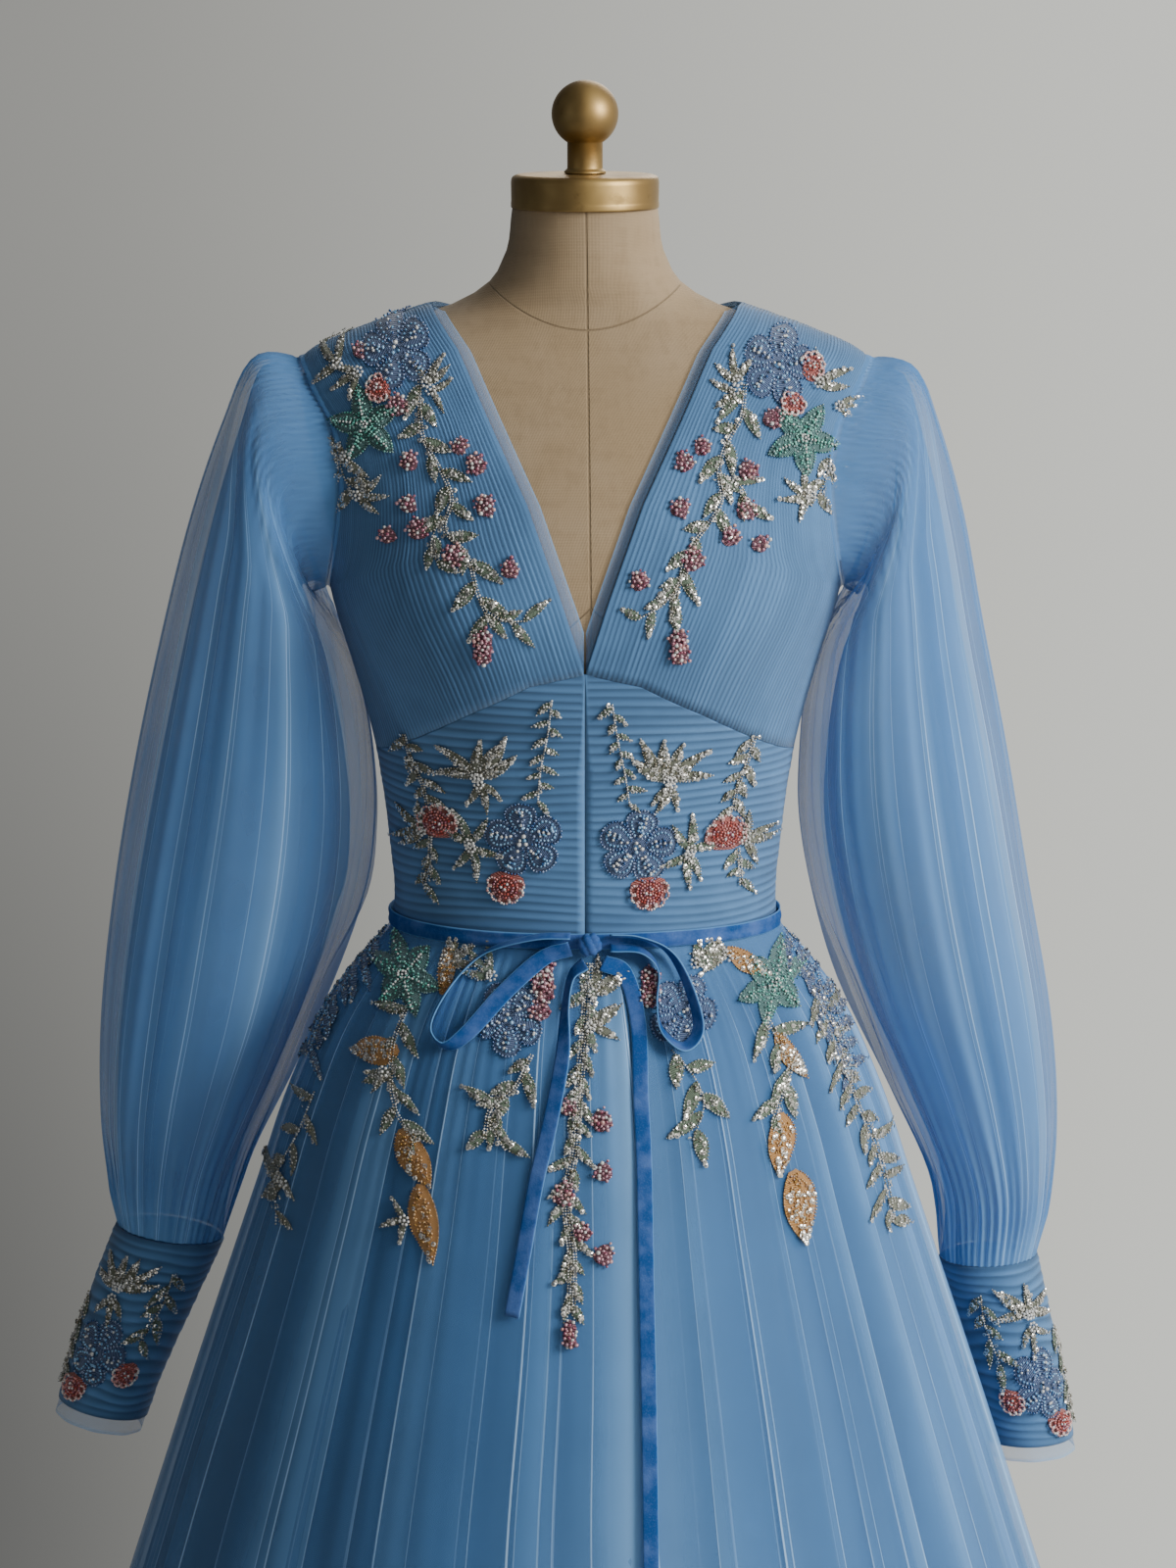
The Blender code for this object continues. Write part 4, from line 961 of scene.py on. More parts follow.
def pleated_panel(part, front, side, out, inn, crest):
    """A pleated panel with turned-in edges, mirrored to its side, its faces looking outward."""
    grid, crest = with_edges(out, inn), padded_mark(crest)
    if side < 0:
        grid[..., 0] *= -1
    if (side > 0) != front:
        grid, crest = grid[:, ::-1], crest[:, ::-1]
    half = part + ("_front" if front else "_back")
    name = half + "_" + side_name(side)
    # the crest mark carries the painted pleat shade and highlight into the pleated tulle
    stuff = Stuff("crest")
    stuff.sheet(grid, crest=crest)
    panel = stuff.build("pleated_" + name, [finish("pleated_tulle")])
    carried(panel, "tulle", name)


# Form and stand

def build_form():
    """Sections of the form on a fine grid, eased in under the cloth, with closed ends."""
    rows, cols = FORM_GRID
    zs = np.linspace(FORM_TOP_Z, FORM_BOTTOM_Z, rows)[:, None]
    theta = np.linspace(-math.pi, math.pi, cols, endpoint=False)[None, :] + 0 * zs
    z = zs + 0 * theta
    grid = off(torso_point, theta, z, -FORM_EASE * np.clip((1.463 - z) / 0.007, 0, 1))
    stuff = Stuff()
    stuff.sheet(grid, closed=True)
    stuff.fan(grid[0].mean(0), grid[0])
    stuff.fan(grid[-1].mean(0), grid[-1], flip=True)
    form = stuff.build("form_cover", [finish("linen")])
    carried(form, "linen", "form_torso")


def build_stand():
    """Turned cap, ball, pole and base with soft corners."""
    top = FORM_TOP_Z + SEAT
    rim = top + CAP_HEIGHT
    cap = [(0, rim), (CAP_RADIUS - 0.004, rim - 0.0004), (CAP_RADIUS - 0.0008, rim - 0.0018),
           (CAP_RADIUS, rim - 0.0045), (CAP_RADIUS - 0.0002, top + 0.0042),
           (CAP_RADIUS, top + 0.0036), (CAP_RADIUS, top), (0, top)]
    seat = rim + SEAT
    low = -math.acos(STEM_RADIUS / BALL_RADIUS)
    a = math.pi / 2 + (low - math.pi / 2) * np.linspace(0, 1, 40)[1:]
    ball = [(0, BALL_Z + BALL_RADIUS)]
    ball += list(zip(BALL_RADIUS * np.cos(a), BALL_Z + BALL_RADIUS * np.sin(a)))
    foot = [ball[-1], (STEM_RADIUS, seat + 0.003), (STEM_RADIUS + 0.002, seat + 0.0012),
            (STEM_RADIUS + 0.002, seat), (0, seat)]
    pole_top, pole_low, collar = FORM_BOTTOM_Z - SEAT, BASE_HEIGHT + SEAT, POLE_RADIUS + 0.012
    pole = [(0, pole_top), (FLANGE_RADIUS, pole_top), (FLANGE_RADIUS, pole_top - 0.006),
            (collar, pole_top - 0.008), (POLE_RADIUS, pole_top - 0.040),
            (POLE_RADIUS, pole_low + 0.045), (collar, pole_low + 0.010), (collar, pole_low),
            (0, pole_low)]
    base = [(0, BASE_HEIGHT), (FLANGE_RADIUS, BASE_HEIGHT),
            (BASE_RADIUS - 0.02, BASE_HEIGHT - 0.009), (BASE_RADIUS, 0.008), (BASE_RADIUS, 0.0),
            (0, 0.0)]
    finial = np.concatenate([ball[:-1], soft_profile(foot, 0.0005)])
    for node, profile, segments, look, slot in (
            ("neck_cap", soft_profile(cap, 0.0012), 96, "brass", "brass"),
            ("finial", finial, 96, "brass", "brass"),
            ("stand_pole", soft_profile(pole, 0.004), 64, "dark_brass", "pole"),
            ("stand_base", soft_profile(base, 0.003), 128, "dark_brass", "pole")):
        stuff = Stuff()
        revolve(stuff, profile, segments)
        carried(stuff.build(node + "_turned", [finish(look)]), slot, node)


# Bodice

def build_bodice():
    """Panels with fine pressed pleats that keep to the neck's slant and sweep under the bust."""
    count = bpy.context.scene.gown_sizes.bodice_pleats
    for front in (True, False):
        pleats = count if front else count // 2
        rows, cols = (50, pleats * 7 + 1) if front else (40, pleats * 6 + 1)
        theta, z = bodice_grid(front, rows, cols)
        u, v = np.linspace(0, 1, rows)[:, None] ** 1.1, np.linspace(0, 1, cols)[None, :]
        for side in (-1, 1):
            swept = v * (1 + (0.36 if front else 0.10) * u * u * (3 - 2 * u))
            drift = (0.55 * np.sin(9 * v + 2.4 * u + side)
                     + 0.35 * np.sin(23 * v - 3.1 * u + 2 * side) + 0.4 * np.sin(4.2 * u + 14 * v))
            phase = swept * pleats + drift * np.clip(v * 5, 0, 1)
            own = np.sin(12.9898 * np.floor(phase) + side) * 43.7
            own = own - np.floor(own)
            ripple = np.sin(31 * swept + 4.0 * u + side) * np.cos(12 * v - 5 * u)
            uneven = 0.45 + 0.55 * (0.5 + 0.5 * ripple)
            fade = np.clip(np.minimum(v, 1 - v) * 60, 0, 1) * np.clip((1 - u) * 30, 0.2, 1)
            shape = knife(phase)
            soft = 0.0006 * np.sin(6.5 * v + 1.3 + side * 0.4) * np.sin(math.pi * u)
            raised = BODICE_RELIEF * shape * uneven * (0.7 + 0.5 * own) * fade + soft * fade
            out = off(torso_point, theta, z, CLOTH_IN + CLOTH_WALL + raised)
            inn = off(torso_point, theta, z, -0.0010 + 0 * z)
            # crest mark for the painted shade in the pleat troughs and highlight on the crests
            mark = shape * (0.35 + 0.4 * uneven + 0.25 * own)
            pleated_panel("bodice", front, side, out, inn, mark)


def build_neck_edge():
    """A narrow net strip inside the V and round the back neck, laid on the form."""
    stuff = Stuff("rim")
    rows, cols = NECK_GRID
    t = np.linspace(0, 1, rows)
    w = np.linspace(-0.35, 1, cols)[None, :]
    for front in (True, False):
        edge = along_curve(NECK_V if front else BACK_V, t)
        z0, x0 = edge[:, 0][:, None], edge[:, 1][:, None]
        if front:
            x, z = np.clip(x0 - 0.0078 * w, 0.0006, None), z0 + 0 * w
        else:
            x, z = x0 + 0 * w, z0 + 0.0070 * w * np.clip((0.098 - x0) / 0.03, 0.2, 1)
        theta = front_angle(x, z)
        lift = np.where(w < 0, CLOTH_IN, 0.0002 + 0.0036 * (1 - w) ** 1.5)
        for side in (-1, 1):
            ang = theta if front else math.pi - theta
            grid = off(torso_point, ang, z, lift + 0 * x)
            if side < 0:
                grid[..., 0] *= -1
            flip = (side > 0) == front
            stuff.sheet(grid, flip=not flip, rim=np.clip(w, 0, 1) + 0 * x)
    strip = stuff.build("neck_edge_net", [finish("edge_net")])
    carried(strip, "tulle")


def build_midriff():
    """Level pleats below the empire seam, wandering a little, with a raised centre seam."""
    low = WAIST_Z + SEAT
    count = bpy.context.scene.gown_sizes.midriff_pleats
    for front in (True, False):
        pleats = count if front else count // 2 + 2
        top = 1.2336 if front else EMPIRE_SIDE_Z - SEAT / 2
        rows, cols = pleats * 6 + 1, 37
        z = np.linspace(top, low, rows)[:, None]
        v = np.linspace(0, 1, cols)[None, :]
        wide = midriff_half_width(z) if front else np.full(z.shape, math.pi / 2 - SEAM_ANGLE)
        start = SEAT / 2 / 0.12
        theta = start + (wide - start) * v
        u = (top - z) / (top - low) + 0 * theta
        z = z + 0 * theta
        for side in (-1, 1):
            drift = (0.30 * np.sin(2.3 * theta + 9 * u + side)
                     + 0.16 * np.sin(4.1 * theta - 6 * u + 1.3 * side))
            phase = u * pleats + drift * np.clip(u * 12, 0, 1) * np.clip((1 - u) * 12, 0, 1)
            uneven = (0.60 + 0.40 * np.sin(41 * u + 1.5 * theta + side)
                      * np.cos(17 * u - 1.1 * theta))
            fade = np.clip(np.minimum(u, 1 - u) * 30, 0, 1)
            shape = knife(1 - (phase - np.floor(phase)))
            seam = np.exp(-(theta / 0.012) ** 2)
            raised = MIDRIFF_RELIEF * (shape * uneven * fade * (1 - 0.6 * seam) + 0.5 * seam * fade)
            ang = theta if front else math.pi - theta
            out = off(torso_point, ang, z, CLOTH_IN + CLOTH_WALL + raised)
            inn = off(torso_point, ang, z, CLOTH_IN + 0 * z)
            # crest mark for the painted shade in the pleat troughs and highlight on the crests
            mark = np.maximum(shape * (0.5 + 0.5 * uneven) * fade, seam * 0.85)
            pleated_panel("midriff", front, side, out, inn, mark)


# Skirt

def skirt_grid(cols, rows, distance, bottom):
    """Tube of the skirt: level offsets from its sections, rows closer together at the waist."""
    share = np.linspace(0, 1, rows) ** 1.5
    z = (WAIST_Z - 0.0002 - (WAIST_Z - 0.0002 - bottom) * share)[:, None]
    theta = np.linspace(-math.pi, math.pi, cols)[None, :] + 0 * z
    z = z + 0 * theta
    d = distance(theta, z)
    return theta, z, d, off(skirt_point, theta, z, d, level=True)


def steepness(grid, d):
    """How fast the fold height changes along the ring."""
    step = np.linalg.norm(np.roll(grid, -1, 1) - np.roll(grid, 1, 1), axis=-1)
    return np.abs(np.roll(d, -1, 1) - np.roll(d, 1, 1)) / np.maximum(step, 1e-6)


def build_skirt():
    """Lining, a middle net and the outer net, each one tube with its own folds."""
    def lining(theta, z):
        tuck = np.interp(z, [HEM_Z, 0.95, WAIST_Z], [0.0080, 0.0020, 0.0])
        ripple = np.sin(17 * theta + 2 * np.sin(3 * theta))
        return CLOTH_IN + LINING_WALL - tuck + 0.0012 * skirt_drop(z) * ripple

    def middle(theta, z):
        s = skirt_drop(z)
        wander = 1.1 * np.sin(4 * theta + 2.0) + 0.5 * np.sin(9 * theta)
        fold = ridge((MIDDLE_FOLDS * theta + wander) / math.tau, 1.1) * 0.0030 * s ** 0.6
        return CLOTH_IN + LINING_WALL + 0.0002 + 0.0012 * np.clip(s / 0.02, 0, 1) + fold

    def overlay(theta, z):
        return SKIRT_REST + skirt_folds(theta, z)

    pieces = (
        ("skirt_lining_tube", lining, 160, 40, HEM_Z + 0.010, "lining_cloth", "lining",
         ("skirt_lining_front", "skirt_lining_back"), 0.0),
        ("skirt_middle_net", middle, 300, 40, HEM_Z + 0.006, "middle_tulle", "tulle", (), 0.4),
        ("skirt_overlay_net", overlay, 640, 64, HEM_Z, "overlay_tulle", "tulle",
         ("skirt_overlay_front", "skirt_overlay_back"), 0.0),
    )
    for name, distance, cols, rows, bottom, look, slot, nodes, turn in pieces:
        theta, z, d, grid = skirt_grid(cols, rows, distance, bottom)
        stuff = Stuff("fold", "around", "down")
        stuff.sheet(grid, fold=steepness(grid, d) * 1.6, around=(theta + math.pi + turn) / math.tau,
                    down=(WAIST_Z - z) / (WAIST_Z - HEM_Z))
        obj = stuff.build(name, [finish(look)])
        carried(obj, slot, *nodes)


# Sleeves and cuffs

def sleeve_rings(table, rows, cols, outer):
    """Rings from the bodice seam, over the head, to the cuff, and their share of the length."""
    phi = math.pi + np.linspace(0, math.tau, cols)
    share = np.linspace(0, 1, len(table))[:, None]
    rings = skirt_clear(tube_point(table, phi[None, :], share + 0 * phi[None, :]), 0.0250)
    seam = []
    for grow, lift in ((0.0030, 0.0003), (0.0008, 0.0016)):
        ring = armhole(phi, grow)
        theta = angle_on_torso(ring[:, 0], ring[:, 1], ring[:, 2])
        seam.append(off(torso_point, theta, ring[:, 2], CLOTH_IN + CLOTH_WALL + lift + 0 * theta))
    head = armhole(phi, 0.0014)
    head[:, 0] += CLOTH_IN + CLOTH_WALL + HEAD_GAP
    rings = np.concatenate([[seam[0], seam[1], head], rings])
    last = len(rings) - 1.0
    at = np.linspace(2, last, rows)
    if outer:
        at = np.concatenate([np.linspace(0, 2, 7)[:-1], at])
    grid = smooth_lookup(at, np.arange(len(rings)) * 1.0, rings)
    normal = grid_normal(grid)
    spread = np.stack([0 * phi + 0.25, -np.sin(phi), np.cos(phi)], -1)
    normal[at <= 2] = spread / np.linalg.norm(spread, axis=-1, keepdims=True)
    return phi, grid, normal, np.clip((at - 2) / (last - 2), 0, 1)[:, None], at[:, None]


def build_sleeves():
    """Long soft folds over a closer inner net, with fine gathers at the head and the cuff."""
    folds = bpy.context.scene.gown_sizes.sleeve_folds
    for side, table in ((-1, SLEEVE_LEFT), (1, SLEEVE_RIGHT)):
        for outer in (True, False):
            rows, cols = SLEEVE_GRID if outer else SLEEVE_UNDER_GRID
            phi, grid, normal, t, at = sleeve_rings(table, rows, cols, outer)
            top = np.clip(1 - t / 0.28, 0, 1)
            flow = (phi - math.tau) * (1 + 1.1 * top * top * (3 - 2 * top))
            wander = 1.4 * np.sin(2 * phi + side + 1.6 * t) + 0.8 * np.sin(5 * phi + 2 * t - side)
            long, fine = np.interp(t, *LONG_FOLDS), np.interp(t, *FINE_GATHERS)
            head = np.clip(1 - t / 0.22, 0, 1) * (1 - np.clip(np.cos(phi) * 1.3 + 0.15, 0, 1))
            fine = fine * np.clip(at / 1.5, 0, 1) * (1 - 0.85 * head)
            uneven = 0.62 + 0.38 * np.sin(3 * phi + 0.6 + side) * np.cos(5 * phi + 2 * t)
            wave = long * uneven * (ridge((folds * flow + wander) / math.tau, 0.9) - 0.5)
            narrow = ridge((SLEEVE_NARROW * flow + 2.5 * wander) / math.tau) - 0.5
            wave = wave + 0.22 * long * narrow
            wave = wave + fine * (ridge((SLEEVE_GATHERS * flow + 2 * wander) / math.tau, 1.1) - 0.4)
            wave = wave + 0.0018 * np.sin(math.pi * t) * np.sin(7 * t + 2 * phi + side)
            wave = wave + 0.0100 * np.exp(-((t - 0.30) / 0.20) ** 2) * np.clip(-np.cos(phi), 0, 1)
            if not outer:
                wave = wave * 0.6 - 0.0150 * np.sin(math.pi * t) ** 0.6 - 0.0006
            shape = grid + normal * (wave + SLEEVE_WALL * np.clip(at - 1, 0, 1))[..., None]
            shape[:, -1] = shape[:, 0]
            if side < 0:
                shape[..., 0] *= -1
            mark, down = steepness(grid, wave) * 1.2, t + 0 * phi[None, :]
            around = flow / math.tau + 3.0
            if side > 0:
                shape, mark, around = shape[:, ::-1], mark[:, ::-1], around[:, ::-1]
            stuff = Stuff("fold", "around", "down")
            stuff.sheet(shape, fold=mark, around=around, down=down)
            name = "sleeve_" + side_name(side)
            obj = stuff.build(name + ("_net" if outer else "_under_net"),
                              [finish("sleeve_tulle" if outer else "sleeve_under_tulle")])
            carried(obj, "tulle", *([name] if outer else []))


def cuff_surface(table, side):
    """Point of a cuff from metres round and down it, measured from its front outer line."""
    def at(x, z, lift):
        turn = 1.15 + x / CUFF_RADIUS
        share = z / CUFF_LENGTH
        a = tube_point(table, turn, share)
        b = tube_point(table, turn + 0.01, share)
        c = tube_point(table, turn, share + 0.01)
        normal = np.cross(b - a, c - a)
        normal /= np.linalg.norm(normal, axis=-1, keepdims=True)
        centre = tube_point(table, turn + math.pi, share)
        normal *= np.sign(((a - centre) * normal).sum(-1, keepdims=True))
        out = a + normal * (CUFF_WALL + PLEAT_RISE * 0.8 + lift)[..., None]
        if side < 0:
            out = out * np.array([-1.0, 1.0, 1.0])
        return out
    return at


def build_cuffs():
    """Fine level pleats round the cuff and a plain net edge below them."""
    for side, table in ((-1, CUFF_LEFT), (1, CUFF_RIGHT)):
        name = "cuff_" + side_name(side)
        phi = np.linspace(0, math.tau, CUFF_COLUMNS, endpoint=False)[None, :]
        pleats = bpy.context.scene.gown_sizes.cuff_pleats
        share = np.linspace(0, CUFF_PLEATED, pleats * 6 + 1)[:, None]
        grid = tube_point(table, phi + 0 * share, share + 0 * phi)
        normal = grid_normal(grid)
        u = share / CUFF_PLEATED
        drift = 0.24 * np.sin(2 * phi + 9 * u + side) + 0.10 * np.sin(5 * phi - 6 * u)
        phase = u * pleats + drift * np.clip(u * 8, 0, 1) * np.clip((1 - u) * 8, 0, 1)
        uneven = 0.6 + 0.4 * np.sin(37 * u + 2 * phi) * np.cos(3 * phi - 11 * u)
        fade = np.clip(np.minimum(u, 1 - u) * 20, 0, 1)
        shape = knife(1 - (phase - np.floor(phase)))
        out = grid + normal * (CUFF_WALL + PLEAT_RISE * 0.6 * shape * uneven * fade)[..., None]
        # crest mark for the painted shade in the pleat troughs and highlight on the crests
        mark = shape * (0.5 + 0.5 * uneven) * fade
        out = np.concatenate([grid[:1], out, grid[-1:]])
        mark = np.concatenate([mark[:1], mark, mark[-1:]])
        low = np.linspace(CUFF_EDGE, 1.0, CUFF_EDGE_ROWS)[:, None]
        flare = (low - CUFF_EDGE) / (1 - CUFF_EDGE)
        edge = tube_point(table, phi + 0 * low, low + 0 * phi)
        lift = CUFF_WALL * 0.55 + 0.0004 * np.sin(9 * phi) * flare
        edge = edge + grid_normal(edge) * lift[..., None]
        if side < 0:
            out[..., 0] *= -1
            edge[..., 0] *= -1
        else:
            out, mark, edge = out[:, ::-1], mark[:, ::-1], edge[:, ::-1]
        stuff = Stuff("crest")
        stuff.sheet(out, closed=True, crest=mark)
        obj = stuff.build(name + "_pleated", [finish("pleated_tulle")])
        carried(obj, "tulle", name)
        stuff = Stuff("rim")
        stuff.sheet(edge, closed=True, rim=flare + 0 * phi)
        obj = stuff.build(name + "_edge_net", [finish("edge_net")])
        carried(obj, "tulle")
        name + "_pleated"


# Belt and bow

def build_belt():
    """A level velvet band with a crowned face, lying over the waist seam."""
    theta = np.linspace(-math.pi, math.pi, BELT_COLUMNS, endpoint=False)[None, :]
    face = np.linspace(0.5, -0.5, BELT_ROWS)[:, None]
    wall = np.array([0.5, -0.5])[:, None]

    def ring(height, depth):
        at = WAIST_Z + 0 * height + 0 * theta
        wave = 0.0003 * np.sin(5 * theta + 9 * height) + 0.0002 * np.sin(23 * theta)
        sag = BELT_SAG * np.clip(np.cos(theta), 0, 1) ** 2
        grid = off(torso_point, theta + 0 * height, at,
                   BELT_IN + sag + depth + wave * (depth > 0.001), level=True)
        grid[..., 2] = BELT_Z + BELT_HEIGHT * height + 0.0004 * np.sin(3 * theta + 0.7)
        return grid

    front = ring(face, BELT_WALL * (0.75 + 0.25 * (1 - (2 * face) ** 4)) + 0 * theta)
    back = ring(wall, 0 * wall + 0 * theta)
    grid = np.concatenate([back[:1], front, back[1:]])
    # edge mark: painted sheen on the rounded top and bottom of the belt's face
    edge = np.concatenate([[[1.0]], np.abs(2 * face) ** 3, [[1.0]]]) + 0 * theta
    stuff = Stuff("edge", "back")
    stuff.sheet(grid, closed=True, ring=True, edge=edge)
    obj = stuff.build("belt_velvet", [finish("velvet")])
    carried(obj, "velvet", "belt")


def ribbon(node, path, count):
    """Ribbon along a path in front of the skirt: its cross line turns from flat to edge-on."""
    data = np.array(path, dtype=float)
    at = np.linspace(0, len(data) - 1, count)
    x, z, lift, turn = [smooth_lookup(at, np.arange(len(data)) * 1.0, data[:, k]) for k in range(4)]
    dx, dz = np.gradient(x), np.gradient(z)
    length = np.hypot(dx, dz)
    ax, az = -dz / length, dx / length
    turn = np.radians(turn)
    half, thick = RIBBON_WIDTH / 2, RIBBON_WALL / 2
    rest = half * np.sin(turn) + thick * np.cos(turn) + lift
    s = np.concatenate([np.linspace(-1, 1, 9), np.linspace(1, -1, 9)])
    t = np.concatenate([np.full(9, -1.0), np.full(9, 1.0)])
    t = t * (0.55 + 0.45 * (1 - s ** 4))
    s, t = s[None, :], t[None, :]
    sway = 0.0005 * np.sin(np.linspace(0, 17, count))[:, None]
    across = half * np.cos(turn)[:, None] * s - thick * np.sin(turn)[:, None] * t
    out = half * np.sin(turn)[:, None] * s + thick * np.cos(turn)[:, None] * t
    out = out + sway * (lift[:, None] > 0.001)
    px, pz = x[:, None] + ax[:, None] * across, z[:, None] + az[:, None] * across
    grid = skirt_front(px, np.minimum(pz, WAIST_Z), rest[:, None] + out)
    grid[..., 2] = pz
    # edge mark: painted sheen along the ribbon's long edges
    edge = np.abs(s) ** 6 + 0 * px
    back = (t < 0) * 1.0 + 0 * px
    rows, cols = px.shape
    stuff = Stuff("edge", "back")
    ids = np.arange(rows * cols).reshape(rows, cols)
    ring = np.hstack([ids, ids[:, :1]])
    quads = np.stack([ring[:-1, :-1], ring[:-1, 1:], ring[1:, 1:], ring[1:, :-1]], -1)
    j = np.arange(8)
    first = np.stack([ids[0, j + 1], ids[0, j], ids[0, 17 - j], ids[0, 16 - j]], -1)
    last = np.stack([ids[-1, j], ids[-1, j + 1], ids[-1, 16 - j], ids[-1, 17 - j]], -1)
    stuff.add(grid, np.concatenate([quads.reshape(-1, 4), first, last]), edge=edge, back=back)
    obj = stuff.build(node + "_ribbon", [finish("velvet")])
    carried(obj, "velvet", node)


def build_bow():
    """Two loops and two tails of the belt's ribbon, and a wrapped knot."""
    for node, path, count, length in (
            ("bow_loop_left", LOOP_LEFT, 110, 0.235), ("bow_loop_right", LOOP_RIGHT, 110, 0.195),
            ("bow_tail_left", TAIL_LEFT, 80, 0.230), ("bow_tail_right", TAIL_RIGHT, 120, 0.555)):
        ribbon(node, path, count)
    front = float(torso_point(np.array(0.0), np.array(WAIST_Z))[1])
    knot_y = front - BELT_IN - BELT_SAG - BELT_WALL - SEAT - KNOT_DEPTH
    lat = np.linspace(0, math.pi, KNOT_GRID[0])[1:-1][:, None]
    lon = np.linspace(0, math.tau, KNOT_GRID[1], endpoint=False)[None, :]
    x, z = np.sin(lat) * np.cos(lon), np.cos(lat) + 0 * lon
    y = np.sin(lat) * np.sin(lon)
    wrap = (ridge(0.5 + (x * 0.9 + z * 0.45) * 1.3, 0.5) * 0.12
            + ridge(z * 1.9 - x * 0.8, 0.7) * 0.06)
    r = 0.76 + wrap
    grid = np.stack([x * r * KNOT_RADIUS + KNOT_X, y * r * KNOT_DEPTH + knot_y,
                     z * r * KNOT_RADIUS + KNOT_Z], -1)
    stuff = Stuff("edge", "back")
    # painted sheen: pale in the hollows between the wraps, through the edge mark
    crease_sheen = np.clip(1 - wrap * 9, 0, 1)
    stuff.sheet(grid, closed=True, edge=crease_sheen)
    stuff.fan(grid[0].mean(0), grid[0])
    stuff.fan(grid[-1].mean(0), grid[-1], flip=True)
    obj = stuff.build("bow_knot_wrapped", [finish("velvet")])
    carried(obj, "velvet", "bow_knot")


# Beadwork

def bead_shape():
    """Twelve points and twenty faces of a small round bead."""
    g = (1 + 5 ** 0.5) / 2
    p = np.array([(-1, g, 0), (1, g, 0), (-1, -g, 0), (1, -g, 0), (0, -1, g), (0, 1, g),
                  (0, -1, -g), (0, 1, -g), (g, 0, -1), (g, 0, 1), (-g, 0, -1), (-g, 0, 1)],
                 dtype=float)
    f = np.array([(0, 11, 5), (0, 5, 1), (0, 1, 7), (0, 7, 10), (0, 10, 11), (1, 5, 9), (5, 11, 4),
                  (11, 10, 2), (10, 7, 6), (7, 1, 8), (3, 9, 4), (3, 4, 2), (3, 2, 6), (3, 6, 8),
                  (3, 8, 9), (4, 9, 5), (2, 4, 11), (6, 2, 10), (8, 6, 7), (9, 8, 1)])
    return p / np.linalg.norm(p[0]), f


BEAD_POINTS, BEAD_FACES = bead_shape()
RING_SIDES = 6
GOLDEN_ANGLE = 2.39996
SEQUIN_AREA = 0.000011     # of a leaf's box, for each ring sequin on it


